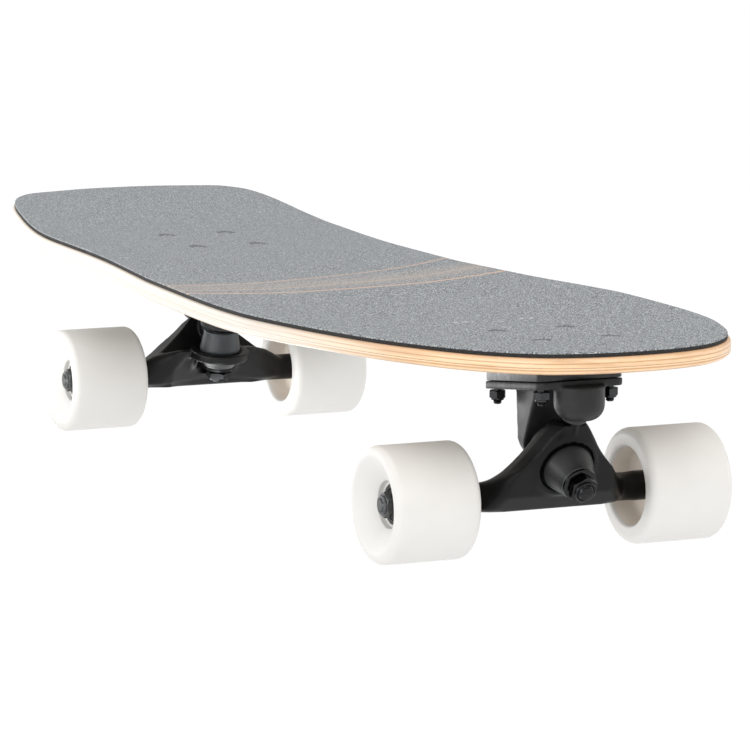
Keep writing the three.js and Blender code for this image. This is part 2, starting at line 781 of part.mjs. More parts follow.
function addRearHanger(group) {
  const wingTop = rear.pivotReach - housingReach(rear) - swingGap;
  const topFront = fromRing(rear, wingHalf, wingTop);
  const sideView = [
    ...beamBackShares.map(([x, z]) => [x * armRadius, z * armRadius]),
    [armRadius + half(wingHalf), half(beamHeight)], [armRadius, beamHeight],
    topFront, fromRing(rear, -wingHalf, wingTop),
  ];
  const onWing = ([y, z]) => [y * wingHalfWidth, z * topFront[1]];
  const frontView = mirrored([...wingFootShares.map(onWing), ...smooth(wingShares.map(onWing), archSteps)]);
  const planView = webPlan(wingFlatHalf, armRadius + half(wingHalf), wingHalfWidth);
  const size = plateLength + plateWidth;
  const wings = toSolid(fromSide(sideView, size))
    .intersect(toSolid(fromFront(frontView, size)))
    .intersect(toSolid(fromAbove(planView, size)));
  const neckView = [
    [0, -half(armRadius)], [armRadius, -half(armRadius)],
    [rear.ringForward, rear.ringUp - rear.ringHalf], [rear.ringForward, rear.ringUp],
    [0, beamHeight],
  ];
  const neck = toSolid(fromSide(neckView, rear.ringNeckWidth));
  const body = unite(wings, armSolid(), ringSolid(rear), neck, pivotNose(rear, half(wingTop)));
  const stack = kingpinStack(rear);
  const nutRoom = rod(half(kingpinNutFlats) + cutOverrun, stack.roadEnd + seatGap, stack.end - cutOverrun);
  const cuts = [...hangerCuts(rear), onKingpin(rear, nutRoom)];
  addPiece(group, 'rear_hanger', toGeometry(cut(body, ...cuts)), 'black');
}

function addRearBaseplate(group) {
  const { hold } = kingpinStack(rear);
  const top = (plateTop(rear, patternForward) - rear.ringUp) / Math.cos(rear.kingpinTurn);
  const headSeat = top - rear.headPocketDepth;
  const foot = top - half(plateThickness);
  // The turret round the kingpin, whose foot stays clear of the nearest nuts
  const footX = rear.ringForward + foot * Math.sin(rear.kingpinTurn);
  const [screwX, screwY] = screwPlaces[screwPlaces.length - 1];
  const footRadius = Math.hypot(screwX - footX, screwY) - nutReach - nutClearance;
  const turret = onKingpin(rear, rod(rear.turretRadius, hold, foot, roundSides, footRadius));
  const body = unite(plateSolid(rear), turret, pivotHousing(rear));
  const cuts = [
    abovePlate(rear),
    pivotCavity(rear),
    onKingpin(rear, rod(kingpinRadius + holeGap, hold - cutOverrun, top + cutOverrun)),
    onKingpin(rear, rod(half(kingpinNutFlats) + cutOverrun, headSeat, top + plateLength)),
    ...screwHoles(plateReach(rear)),
  ];
  addPiece(group, 'rear_baseplate', toGeometry(cut(body, ...cuts)), 'black');
  return headSeat;
}

// Screws and nuts that hold a truck to the deck

function addScrews(group, prefix, truck, truckX) {
  const names = ['rear_right', 'rear_left', 'front_right', 'front_left'];
  screwPlaces.forEach((place, i) => {
    const solid = (geometry) => toSolid(placed(geometry, 0, ...place, 0));
    const top = screwTop(truckX, place) - wheelRadius;
    const seat = plateUnderside(truck, place[0] - Math.sign(truck.plateTilt) * nutReach) - seatGap;
    const end = seat - nutHeight - screwEndProud;
    const screw = turned([
      [0, end], [screwRadius, end], [screwRadius, top - screwHeadHeight], [screwHeadRadius, top], [0, top],
    ], tinySides);
    addPiece(group, `${prefix}_screw_${names[i]}`, toGeometry(solid(screw)), 'darkSteel');
    const nut = cut(
      solid(hexBar(nutFlats, seat - nutHeight, seat)),
      solid(rod(screwRadius + holeGap, end, seat + cutOverrun, tinySides)),
    );
    addPiece(group, `${prefix}_nut_${names[i]}`, toGeometry(nut), 'darkSteel');
  });
}

// Axle, wheels and bearings. Along Y, side is 1 on the left and -1 on the right.

const wheelFace = half(wheelTrack) + half(wheelWidth);
const outerBearingFace = wheelFace - outerBearingDepth;
const innerBearingFace = outerBearingFace - 2 * bearingWidth - bearingSpacing;
const washerFace = outerBearingFace + seatGap + axleWasherThickness;
const axleNutFace = washerFace + seatGap + axleNutHeight;
const axleEnd = axleNutFace + axleEndProud;

function onSide(geometry, side) {
  const laid = alongY(geometry);
  if (side < 0) laid.rotateZ(Math.PI);
  return laid;
}

function wheelProfile() {
  const inner = wheelFace - wheelWidth;
  const seatRadius = bearingRadius + seatGap;
  const outerSeat = outerBearingFace - bearingWidth - seatGap;
  const innerSeat = innerBearingFace + bearingWidth + seatGap;
  const corner = (radius, height, startTurn) =>
    arc(wheelRadius - radius, height, radius, startTurn, startTurn + Math.PI / 2, cornerSteps);
  return [
    ...corner(wheelInnerEdge, inner + wheelInnerEdge, -Math.PI / 2),
    ...corner(wheelOuterEdge, wheelFace - wheelOuterEdge, 0),
    [outerHubRadius, wheelFace - hubDish],
    [outerHubRadius - hubChamfer, outerBearingFace],
    [seatRadius, outerBearingFace],
    [seatRadius, outerSeat],
    [bearingRadius - hubShoulder, outerSeat],
    [bearingRadius - hubShoulder, innerSeat],
    [seatRadius, innerSeat],
    [seatRadius, innerBearingFace - seatGap],
    [innerHubRadius - innerHubEdge, innerBearingFace - innerHubEdge],
    [innerHubRadius, inner + innerHubEdge],
    [innerHubRadius + half(innerHubEdge), inner],
  ];
}

// A shielded bearing: two rings with the shields sunk between them.
function bearingProfile(outerFace) {
  const inner = outerFace - bearingWidth;
  const ringOut = bearingBoreRadius + bearingRing;
  const ringIn = bearingRadius - bearingRing;
  return [
    [bearingBoreRadius, inner], [ringOut, inner], [ringOut, inner + shieldDepth],
    [ringIn, inner + shieldDepth], [ringIn, inner],
    [bearingRadius - bearingEdge, inner], [bearingRadius, inner + bearingEdge],
    [bearingRadius, outerFace - bearingEdge], [bearingRadius - bearingEdge, outerFace], [ringIn, outerFace],
    [ringIn, outerFace - shieldDepth], [ringOut, outerFace - shieldDepth], [ringOut, outerFace],
    [bearingBoreRadius, outerFace],
  ];
}

function addWheel(group, prefix, side) {
  const add = (name, geometry, look) =>
    addPiece(group, `${prefix}_${name}`, toGeometry(toSolid(onSide(geometry, side))), look);
  const sleeve = axleRadius + seatGap;
  add('wheel', turned(wheelProfile(), roundSides), 'urethane');
  add('outer_bearing', turned(bearingProfile(outerBearingFace), bearingSides), 'steel');
  add('inner_bearing', turned(bearingProfile(innerBearingFace + bearingWidth), bearingSides), 'steel');
  const washerInner = outerBearingFace + seatGap;
  const washer = [
    [sleeve, washerInner], [axleWasherRadius, washerInner],
    [axleWasherRadius, washerFace], [sleeve, washerFace],
  ];
  add('axle_washer', turned(washer, tinySides), 'steel');
  const nut = cut(
    toSolid(onSide(hexBar(axleNutFlats, washerFace + seatGap, axleNutFace), side)),
    toSolid(onSide(rod(sleeve, washerFace, axleEnd, tinySides), side)),
  );
  addPiece(group, `${prefix}_axle_nut`, toGeometry(nut), 'steel');
}

function addAxle(group, name) {
  const point = axleRadius - axleEndRadius;
  const axle = turned([
    [0, -axleEnd], [point, -axleEnd], [axleRadius, axleEndRadius - axleEnd],
    [axleRadius, axleEnd - axleEndRadius], [point, axleEnd], [0, axleEnd],
  ], tinySides);
  addPiece(group, name, toGeometry(toSolid(alongY(axle))), 'steel');
}

function buildTruck(prefix, truck, truckX, addHanger, addBaseplate) {
  const group = new THREE.Group();
  group.position.set(truckX, 0, wheelRadius);
  board.add(group);
  addRiser(group, `${prefix}_riser`, truck, truckX);
  const headSeat = addBaseplate(group);
  addHanger(group);
  addPivotCup(group, `${prefix}_pivot_cup`, truck);
  addKingpinPieces(group, prefix, truck, headSeat);
  addScrews(group, prefix, truck, truckX);
  addAxle(group, `${prefix}_axle`);
  addWheel(group, `${prefix}_right`, -1);
  addWheel(group, `${prefix}_left`, 1);
}

buildDeck();
buildTruck('front', front, axleX.front, addFrontHanger, addFrontBaseplate);
buildTruck('rear', rear, axleX.rear, addRearHanger, addRearBaseplate);

export default board;
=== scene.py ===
# %% [markdown]
# # A surf skateboard, dressed in Blender
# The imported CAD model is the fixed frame: every part of the board is already in its real place and
# size. This lesson gives it its looks. Each step makes one real piece, such as the deck or a
# wheel, at the place where the CAD model has it, or gives a CAD part its finish. All sizes below
# are in millimetres, as on a drawing, and MM turns them into Blender's metres.

# %% Load the frame
import math

import bmesh
import bpy
from mathutils import Matrix, Vector


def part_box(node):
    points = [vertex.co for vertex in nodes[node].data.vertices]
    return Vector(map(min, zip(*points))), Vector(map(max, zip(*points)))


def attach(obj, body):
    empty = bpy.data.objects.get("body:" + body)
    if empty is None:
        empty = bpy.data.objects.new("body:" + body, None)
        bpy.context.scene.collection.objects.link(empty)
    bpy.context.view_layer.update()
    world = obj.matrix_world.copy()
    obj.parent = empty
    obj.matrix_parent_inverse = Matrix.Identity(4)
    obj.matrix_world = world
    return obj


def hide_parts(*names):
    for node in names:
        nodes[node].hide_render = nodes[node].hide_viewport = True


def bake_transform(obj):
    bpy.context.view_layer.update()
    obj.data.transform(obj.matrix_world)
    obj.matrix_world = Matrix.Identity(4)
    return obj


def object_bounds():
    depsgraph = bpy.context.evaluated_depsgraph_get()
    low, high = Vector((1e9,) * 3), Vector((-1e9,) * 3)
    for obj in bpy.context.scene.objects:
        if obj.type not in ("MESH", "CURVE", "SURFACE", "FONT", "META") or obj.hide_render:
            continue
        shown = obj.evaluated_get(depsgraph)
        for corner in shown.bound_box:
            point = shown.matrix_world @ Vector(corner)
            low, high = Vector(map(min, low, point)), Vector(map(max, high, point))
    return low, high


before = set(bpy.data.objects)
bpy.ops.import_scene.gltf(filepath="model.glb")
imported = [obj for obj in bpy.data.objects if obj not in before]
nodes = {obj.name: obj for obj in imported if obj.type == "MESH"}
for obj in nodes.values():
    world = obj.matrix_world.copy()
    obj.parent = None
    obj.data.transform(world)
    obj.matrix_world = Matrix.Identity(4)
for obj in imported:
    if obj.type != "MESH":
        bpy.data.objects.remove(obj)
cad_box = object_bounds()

MM = 0.001
print("CAD parts in the frame:", len(nodes))

# %% [markdown]
# ## Tools for the hand
# An operator acts on whatever is selected, and loading the frame leaves all of its parts selected.
# So each step begins with nothing selected, picks one piece, and opens it in edit mode. Inside
# edit mode, faces and edges are picked by where they lie or which way they face, as the mouse
# would do it.

# %% Select, open, close and join pieces
def deselect_all():
    if bpy.context.object and bpy.context.object.mode != "OBJECT":
        bpy.ops.object.mode_set(mode="OBJECT")
    bpy.ops.object.select_all(action="DESELECT")


def make_active(piece):
    deselect_all()
    piece.select_set(True)
    bpy.context.view_layer.objects.active = piece


def open_piece(piece):
    make_active(piece)
    bpy.ops.object.mode_set(mode="EDIT")


def close_piece():
    bpy.ops.object.mode_set(mode="OBJECT")


def join(piece, others):
    for other in others:
        make_active(piece)
        other.select_set(True)
        bpy.ops.object.join()


def put_in_scene(name, data):
    holder = bpy.data.objects.new(name, data)
    bpy.context.scene.collection.objects.link(holder)
    return holder


deselect_all()
print("selected:", len(bpy.context.selected_objects))

# %% Pick by place inside edit mode
def pick(kind, test):
    """Selects the vertices, edges or faces for which test(element) is true."""
    bpy.ops.mesh.select_mode(type=kind)
    bpy.ops.mesh.select_all(action="DESELECT")
    mesh = bmesh.from_edit_mesh(bpy.context.object.data)
    mesh.normal_update()
    count = 0
    for element in {"VERT": mesh.verts, "EDGE": mesh.edges, "FACE": mesh.faces}[kind]:
        if test(element):
            element.select_set(True)
            count += 1
    mesh.select_flush_mode()
    bmesh.update_edit_mesh(bpy.context.object.data)
    return count


def tidy_shell(distance=0.004):
    """Merges doubled points of the open piece and turns its faces outwards."""
    bpy.ops.mesh.select_mode(type="VERT")
    bpy.ops.mesh.select_all(action="SELECT")
    bpy.ops.mesh.remove_doubles(threshold=distance * MM)
    bpy.ops.mesh.normals_make_consistent()


# %% Apply modifiers and smooth
def add_modifier(piece, kind, **settings):
    make_active(piece)
    modifier = piece.modifiers.new(kind.title(), kind)
    for name, value in settings.items():
        setattr(modifier, name, value)
    bpy.ops.object.modifier_apply(modifier=modifier.name)


def shade(piece, degrees=35):
    make_active(piece)
    bpy.ops.object.shade_smooth_by_angle(angle=math.radians(degrees))


# %% Work from the place of each point
def points_of(piece):
    """Each vertex of a piece, with its place in mm."""
    for vertex in piece.data.vertices:
        yield (vertex, *(value / MM for value in vertex.co))


def store(piece, name, value_of):
    """Keeps a number at each point, for the material to read."""
    values = [value_of(x, y, z) for vertex, x, y, z in points_of(piece)]
    piece.data.attributes.new(name, "FLOAT", "POINT").data.foreach_set("value", values)


def weighted(piece, share_of, kind, **settings):
    """Applies a modifier where, and as strongly as, share_of(x, y, z) says."""
    group = piece.vertex_groups.new(name="share")
    for vertex, x, y, z in points_of(piece):
        share = share_of(x, y, z)
        if share > 0:
            group.add([vertex.index], min(share, 1.0), "REPLACE")
    add_modifier(piece, kind, vertex_group=group.name, **settings)
    piece.vertex_groups.clear()


def lift_points(piece, share_of, rise):
    weighted(piece, share_of, "DISPLACE", direction="Z", mid_level=0.0, strength=rise * MM)


# %% Finish and copy a piece
def finished(piece, name, material, body, node):
    """Names a piece, gives it its finish, and fixes it to its body, if one is given."""
    piece.name = name
    piece.data.name = name
    piece.data.materials.clear()
    piece.data.materials.append(material)
    if body:
        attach(piece, body)
    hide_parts(node)
    print(name, [round(v / MM, 1) for v in piece.dimensions], "mm")


def on_truck(piece, truck, name, material, node, body="deck"):
    finished(piece, f"{truck}_{name}", material, body, f"{truck}_{node}")


def copy_of(piece, matrix):
    """A copy that a matrix moves or turns, with its place in its mesh."""
    make_active(piece)
    bpy.ops.object.duplicate()
    twin = bpy.context.object
    twin.matrix_world = matrix
    bpy.ops.object.transform_apply()
    return twin


# %% [markdown]
# ## Turned pieces
# Wheels, bearings, washers, bushings and bolts are all made on a lathe, or might as well be. In
# Blender, the lathe is Spin: one point is extruded along half of the section, and that line is
# spun once round the axis. The line's two ends are either closed on each other or lie on the axis,
# so the skin is closed.

# %% The lathe
def lathe(profile, line, steps=48, ring=False):
    """Spins (radius, height) points round a line, which is a centre and a direction."""
    deselect_all()
    centre, axis = Vector(line[0]), Vector(line[1]).normalized()
    side = Vector((0, 1, 0)) if abs(axis.y) < 0.5 else axis.orthogonal().normalized()
    points = [(centre + side * r + axis * h) * MM for r, h in profile]
    if ring:
        points.append(points[0])
    bpy.ops.mesh.primitive_plane_add(size=MM, location=(0, 0, 0))
    piece = bpy.context.object
    bpy.ops.object.mode_set(mode="EDIT")
    bpy.ops.mesh.select_all(action="SELECT")
    bpy.ops.mesh.merge(type="CENTER")
    bpy.ops.transform.translate(value=points[0])
    for start, end in zip(points, points[1:]):
        bpy.ops.mesh.extrude_vertices_move(TRANSFORM_OT_translate={"value": end - start})
    bpy.ops.mesh.select_all(action="SELECT")
    bpy.ops.mesh.spin(steps=steps, angle=math.tau, center=centre * MM, axis=axis)
    tidy_shell()
    close_piece()
    return piece


print("the lathe turns in", lathe.__defaults__[0], "steps, if nothing else is said")

# %% Round corners and soft curves
def arc(centre_r, centre_h, radius, start, end, steps):
    """(radius, height) points on a round corner, between two angles in degrees."""
    points = []
    for i in range(steps + 1):
        turn = math.radians(start + (end - start) * i / steps)
        points.append((centre_r + radius * math.cos(turn), centre_h + radius * math.sin(turn)))
    return points


def smooth_line(points, steps):
    """A smooth curve through points, for soft profiles."""
    line = []
    last = len(points) - 1
    for i in range(steps + 1):
        place = last * i / steps
        k = min(int(place), last - 1)
        t = place - k
        near = points[max(k - 1, 0)], points[k], points[k + 1], points[min(k + 2, last)]
        line.append(tuple(
            b + t / 2 * (c - a + t * (2 * a - 5 * b + 4 * c - d + t * (3 * (b - c) + d - a)))
            for a, b, c, d in zip(*near)
        ))
    return line


print("a quarter of a corner:", arc(0, 0, 1, 0, 90, 2))

# %% [markdown]
# ## Materials
# Each finish is a small node tree. Object coordinates keep a pattern at its real scale on any
# piece, because every piece has its place in its mesh. Noise in the colour, the roughness and the
# bump is what makes paint, urethane and steel look like themselves. A socket knows the tree that
# it belongs to, as its id_data, so most helpers need only the sockets that they work on.

# %% A material, its nodes and what they read
def new_material(name, color, roughness, **sockets):
    material = bpy.data.materials.new(name)
    material.use_nodes = True
    shader = material.node_tree.nodes["Principled BSDF"]
    for socket, value in (sockets | {"Base_Color": (*color, 1), "Roughness": roughness}).items():
        shader.inputs[socket.replace("_", " ")].default_value = value
    print("material", name)
    return material


def add_node(tree, kind, links=None, **settings):
    """A node with its properties and plain inputs set, and the given inputs linked."""
    node = tree.nodes.new("ShaderNode" + kind)
    for name, value in settings.items():
        if hasattr(node, name):
            setattr(node, name, value)
        else:
            node.inputs[name.replace("_", " ")].default_value = value
    for name, source in (links or {}).items():
        tree.links.new(source, node.inputs[name])
    return node


def object_place(material, scale=(1, 1, 1)):
    """Object coordinates in millimetres, stretched by a scale."""
    tree = material.node_tree
    coordinates = add_node(tree, "TexCoord").outputs["Object"]
    mapping = add_node(tree, "Mapping", {"Vector": coordinates}, Scale=[s / MM for s in scale])
    return mapping.outputs["Vector"]


def stored(material, name):
    """The number that a piece keeps at each point under a name."""
    settings = {"attribute_name": name, "attribute_type": "GEOMETRY"}
    return add_node(material.node_tree, "Attribute", **settings).outputs["Fac"]


def split(place):
    return add_node(place.id_data, "SeparateXYZ", {"Vector": place}).outputs


# %% Patterns, curves and sums
def noise(place, scale, detail=3.0, roughness=0.5):
    """Cloudy noise from 0 to 1, with scale lumps in a millimetre."""
    settings = {"Scale": scale, "Detail": detail, "Roughness": roughness}
    return add_node(place.id_data, "TexNoise", {"Vector": place}, **settings).outputs["Fac"]


def ramp(value, stops):
    node = add_node(value.id_data, "ValToRGB", {"Fac": value})
    elements = node.color_ramp.elements
    while len(elements) < len(stops):
        elements.new(0.5)
    for element, (place, color) in zip(elements, stops):
        element.position = place
        element.color = (*color, 1)
    return node.outputs["Color"]


def remap(value, low, high, new_low, new_high):
    """Turns low to high into new_low to new_high, and stops at both."""
    settings = {"From_Min": low, "From_Max": high, "To_Min": new_low, "To_Max": new_high}
    return add_node(value.id_data, "MapRange", {"Value": value}, **settings).outputs["Result"]


def feed(node, *values):
    """Gives a node's inputs in turn: a link for a socket, a plain value for the rest."""
    for socket, value in zip(node.inputs, values):
        if isinstance(value, bpy.types.NodeSocket):
            node.id_data.links.new(value, socket)
        elif value is not None:
            socket.default_value = (*value, 1) if isinstance(value, tuple) else value
    return node.outputs[0]


def math_node(operation, clamp=False):
    """A function that works a sum out of sockets and plain numbers."""
    settings = {"operation": operation, "use_clamp": clamp}
    return lambda a, b=None: feed(add_node(a.id_data, "Math", **settings), a, b)


plus, minus, times, over = map(math_node, ("ADD", "SUBTRACT", "MULTIPLY", "DIVIDE"))
absolute, less_than = math_node("ABSOLUTE"), math_node("LESS_THAN")


def blend_colors(share, first, second):
    return feed(add_node(share.id_data, "MixRGB"), share, first, second)


# %% Onto the shader
def set_input(name, output):
    tree = output.id_data
    tree.links.new(output, tree.nodes["Principled BSDF"].inputs[name])


def set_bump(height, distance, strength=1.0):
    """Raised and sunken places, with their depth in millimetres."""
    settings = {"Strength": strength, "Distance": distance * MM}
    node = add_node(height.id_data, "Bump", {"Height": height}, **settings)
    set_input("Normal", node.outputs["Normal"])


def shades(cloud, color, *stops):
    """A colour that varies with a cloud: (place, share of the colour) stops."""
    return ramp(cloud, [(at, tuple(min(c * share, 1) for c in color)) for at, share in stops])


# %% [markdown]
# ### Finishes
# Every finish varies in three ways: a cloud makes its colour darker and lighter, a cloud makes its
# gloss uneven, so that highlights break up, and a fine skin makes small bumps. The trucks have one
# satin black coat in three shades, as painted shade and light: blackest on the front hanger and
# lightest on the plates. Kingpins, nuts and screws are blackened steel, lighter on the front truck
# and darker on the rear as painted light and shade, the rest is plain steel, and urethane lets a
# little light in. The hollow inner side of a wheel is painted lighter and warmer, as painted light,
# and the dull shields of the bearings are darker; both read a share stored at their points.

# %% Clouds, gloss and skin
# cloud, gloss and skin are noises (scale, detail, roughness), shares are shades of the colour,
# spread is how far the roughness goes, and bump is the skin's depth in mm and its strength.
KINDS = {
    "coat": dict(cloud=(0.09,), shares=((0.3, 0.8), (0.7, 1.3)), gloss=(0.09,),
                 spread=(-0.06, 0.08), skin=(1.6, 4, 0.6), bump=(0.03, 0.35)),
    "steel": dict(cloud=(0.35, 4, 0.6), shares=((0.25, 0.78), (0.75, 1.12)), gloss=(3.0,),
                  spread=(0.0, 0.12), skin=(3.0,), bump=(0.012, 0.3), metal=1.0),
    "rubber": dict(cloud=(0.12,), shares=((0.3, 0.8), (0.7, 1.25)), gloss=(0.3,),
                   spread=(-0.08, 0.08), skin=(2.2, 2), bump=(0.03, 0.4)),
    "urethane": dict(cloud=(0.05,), shares=((0.3, 0.8), (0.7, 1)), gloss=(0.05,),
                     spread=(-0.05, 0.07), skin=(1.4,), bump=(0.02, 0.3)),
}
KINDS["bearing"] = KINDS["steel"] | dict(spread=(0.0, 0.06))
KINDS["tread"] = KINDS["urethane"] | dict(shares=((0.3, 0.97), (0.7, 1)))
DEPTH_TINT = (1.0, 0.97, 0.92)


def finish(kind, name, color, roughness, gloss=0.5, depth=1.0, share=0.0):
    """depth, in mm, and share say how far and how much light gets in."""
    how = KINDS[kind]
    material = new_material(
        name, color, roughness, Specular_IOR_Level=gloss, Metallic=how.get("metal", 0.0),
        Subsurface_Weight=share, Subsurface_Radius=DEPTH_TINT, Subsurface_Scale=depth * MM,
    )
    place = object_place(material)
    low, high = (roughness + more for more in how["spread"])
    set_input("Base Color", shades(noise(place, *how["cloud"]), color, *how["shares"]))
    set_input("Roughness", remap(noise(place, *how["gloss"]), 0.3, 0.7, low, high))
    set_bump(noise(place, *how["skin"]), *how["bump"])
    return material


def mark(material, name, color):
    """Gives points by the share that they store under a name a colour of their own."""
    shader = material.node_tree.nodes["Principled BSDF"]
    unmarked = shader.inputs["Base Color"].links[0].from_socket
    set_input("Base Color", blend_colors(stored(material, name), unmarked, color))


# %% Coats, steels, rubber and urethane
# One satin black paint in three shades, as painted shade and light: darkest on the front hanger,
# whose faces turn away from the light, and lightest on the plates, whose sides are lit.
shaded_front_coat = finish("coat", "black_coated_alloy", (0.0028, 0.003, 0.0034), 0.34, 0.2)
shaded_rear_coat = finish("coat", "black_coat_painted_rear_shade", (0.0045, 0.0046, 0.0048), 0.38, 0.27)
lit_plate_coat = finish("coat", "black_coat_painted_plate_light", (0.021, 0.021, 0.0215), 0.4, 0.3)
black_steel = finish("steel", "black_steel", (0.062, 0.063, 0.066), 0.2)
# One blackened steel, lighter on the front truck and darker on the rear: the difference is painted
# light and shade.
nut_steel_by_light = {
    "front": finish("steel", "black_steel_painted_front_light", (0.034, 0.0345, 0.036), 0.14),
    "rear": finish("steel", "black_steel_painted_rear_shade", (0.026, 0.0265, 0.0275), 0.3),
}
plain_steel = finish("steel", "plain_steel", (0.115, 0.118, 0.12), 0.24)
bearing_steel = finish("bearing", "bearing_steel", (0.07, 0.07, 0.072), 0.32)
mark(bearing_steel, "shield", (0.02, 0.02, 0.022))
riser_rubber = finish("rubber", "riser_rubber", (0.01, 0.01, 0.0098), 0.32, 0.46)
cup_plastic = finish("rubber", "black_plastic", (0.02, 0.02, 0.022), 0.5)
wheel_white = finish("tread", "wheel_urethane", (0.76, 0.748, 0.72), 0.4, 0.5, 3.0, 0.2)
# Painted light: the hollow inner side is painted lighter and warmer, as if light glowed in it.
mark(wheel_white, "hollow_painted_light", (0.86, 0.77, 0.67))
# Both bushings are one urethane. The road-side copy is darker as painted shade, for the front
# road-side bushing, which stands in shade.
bushing_grey = finish("urethane", "bushing_urethane", (0.044, 0.051, 0.056), 0.36, share=0.1)
shaded_bushing = finish("urethane", "bushing_urethane_painted_shade", (0.028, 0.0292, 0.031), 0.34, share=0.05)

# %% [markdown]
# ## Deck shape
# The deck is pressed from seven plies. Seen from above, its outline runs from a squash tail over a
# waist to the widest place ahead of the middle, and narrows to a rounded nose. It is drawn as
# shares of half the length and half the width, with a smooth curve through them, and the CAD deck
# uses the same numbers. The plies are bent: the nose rises, the tail kicks up, and the side edges
# rise a little.

# %% Outline of the deck
HALF_LENGTH, HALF_WIDTH = 381.0, 120.0
outline_shares = [
    (-1, 0), (-0.9985, 0.172), (-0.992, 0.354), (-0.977, 0.55), (-0.957, 0.646), (-0.93, 0.712),
    (-0.89, 0.759), (-0.84, 0.79), (-0.775, 0.817), (-0.7, 0.834), (-0.6, 0.833), (-0.49, 0.825),
    (-0.385, 0.829), (-0.23, 0.864), (-0.07, 0.907), (0.09, 0.949), (0.21, 0.983), (0.3, 0.998),
    (0.34, 1), (0.4, 0.989), (0.5, 0.961), (0.61, 0.918), (0.71, 0.859), (0.79, 0.782),
    (0.865, 0.686), (0.92, 0.574), (0.96, 0.44), (0.983, 0.3), (0.996, 0.157), (1, 0),
]


def outline(steps):
    """(x, half width) points on the outline."""
    return smooth_line([(x * HALF_LENGTH, y * HALF_WIDTH) for x, y in outline_shares], steps)


def outline_rows(rows, inset, finer=8):
    """The same, inset square to the outline, whose slope finer steps give."""
    fine = outline(rows * finer)
    placed = []
    for i, (x, y) in enumerate(outline(rows)):
        before, after = fine[max(finer * i - 1, 0)], fine[min(finer * i + 1, finer * rows)]
        along = Vector((after[0] - before[0], after[1] - before[1])).normalized()
        out = {0: Vector((-1, 0)), rows: Vector((1, 0))}.get(i, Vector((-along.y, along.x)))
        placed.append((x - out.x * inset, max(0.0, y - out.y * inset)))
    return placed


print("widest row:", round(max(y for x, y in outline_rows(40, 0.0)), 1), "mm from the middle")

# %% Bend of the deck
NOSE_START, NOSE_RISE = 20, 10
TAIL_START, TAIL_RISE = 60, 9
SIDE_START, SIDE_RISE = 40, 3.2
KICK_START, KICK_BEND, KICK_RISE = 240, 60, 13.4
EASE = 1.5
DECK_THICK = 10.5
deck_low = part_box("deck")[0].z / MM


def deck_lift(x, y):
    """How far the bent deck rises at a place, in mm."""
    nose = max(0.0, x - NOSE_START) / (HALF_LENGTH - NOSE_START)
    tail = max(0.0, -x - TAIL_START) / (HALF_LENGTH - TAIL_START)
    side = max(0.0, abs(y) - SIDE_START) / (HALF_WIDTH - SIDE_START)
    past = max(0.0, -x - KICK_START)
    kick = past * past / (2 * KICK_BEND) if past < KICK_BEND else past - KICK_BEND / 2
    whole_kick = HALF_LENGTH - KICK_START - KICK_BEND / 2
    rise = NOSE_RISE * nose ** EASE + TAIL_RISE * tail + KICK_RISE * kick / whole_kick
    return rise + SIDE_RISE * side ** EASE


print("deck from", round(deck_low, 2), "mm up, its tail lifted by", round(deck_lift(-381, 0), 1))
print("lift at the nose:", round(deck_lift(HALF_LENGTH, 0), 1), "mm")

# %% [markdown]
# ## A sheet that follows the deck
# The deck and the grip sheet are both flat sheets before they are bent. A grid is added, each of
# its rows across is resized to the outline's width there and moved to its place, and the whole is
# extruded to its thickness. The side wall is then extruded outwards once, so that a clean strip
# runs round the rim for the bevel. A Displace modifier, weighted by the lift at each point, bends
# the sheet at the end. A bevel straight on the grid would slide along the rows near the tail,
# where they lie almost along the rim.

# %% Rows of the grid
WELD = 0.001
LEAST = 1e-6


def place_rows(piece, rows, places, low):
    """Resizes and moves each row of the open grid, which runs from -1 to 1 along X."""
    by_row = {}
    for vertex in piece.data.vertices:
        by_row.setdefault(round((vertex.co.x + 1) / 2 * rows), []).append(vertex.index)
    open_piece(piece)
    for row, (x, half_width) in enumerate(places):
        mesh = bmesh.from_edit_mesh(piece.data)
        mesh.verts.ensure_lookup_table()
        bpy.ops.mesh.select_all(action="DESELECT")
        for index in by_row[row]:
            mesh.verts[index].select_set(True)
        start = 2 * row / rows - 1
        size = (1, max(half_width, LEAST) * MM, 1)
        bpy.ops.transform.resize(value=size, center_override=(0, 0, low * MM))
        bpy.ops.transform.translate(value=(x * MM - start, 0, 0))


# %% The flat sheet
def flat_sheet(rows, columns, low, thickness, rim, inset=0.0, rims=(-1, 1), segments=5):
    """rims says which rim edges are rounded: -1 is the lower one and 1 the upper one."""
    deselect_all()
    bpy.ops.mesh.primitive_grid_add(x_subdivisions=rows, y_subdivisions=columns, size=2,
                                    location=(0, 0, low * MM))
    piece = bpy.context.object
    bpy.ops.object.transform_apply()
    place_rows(piece, rows, outline_rows(rows, inset + rim), low)
    tidy_shell(WELD)
    up = {"value": (0, 0, thickness * MM)}
    bpy.ops.mesh.extrude_region_move(TRANSFORM_OT_translate=up)
    tidy_shell(WELD)
    pick("FACE", lambda face: abs(face.normal.z) < 0.5)
    out = {"value": rim * MM, "use_even_offset": True}
    bpy.ops.mesh.extrude_region_shrink_fatten(TRANSFORM_OT_shrink_fatten=out)
    middle = (low + thickness / 2) * MM

    def on_rim(edge):
        level = [1 if vertex.co.z > middle else -1 for vertex in edge.verts]
        flat = [abs(face.normal.z) > 0.5 for face in edge.link_faces]
        return level[0] == level[1] and level[0] in rims and sorted(flat) == [False, True]

    found = pick("EDGE", on_rim)
    bpy.ops.mesh.bevel(offset=rim * 0.97 * MM, segments=segments)
    tidy_shell(WELD)
    close_piece()
    print("sheet with", found, "rim edges and", len(piece.data.polygons), "faces")
    return piece


# %% The bend
LIFT_LIMIT = 36.0


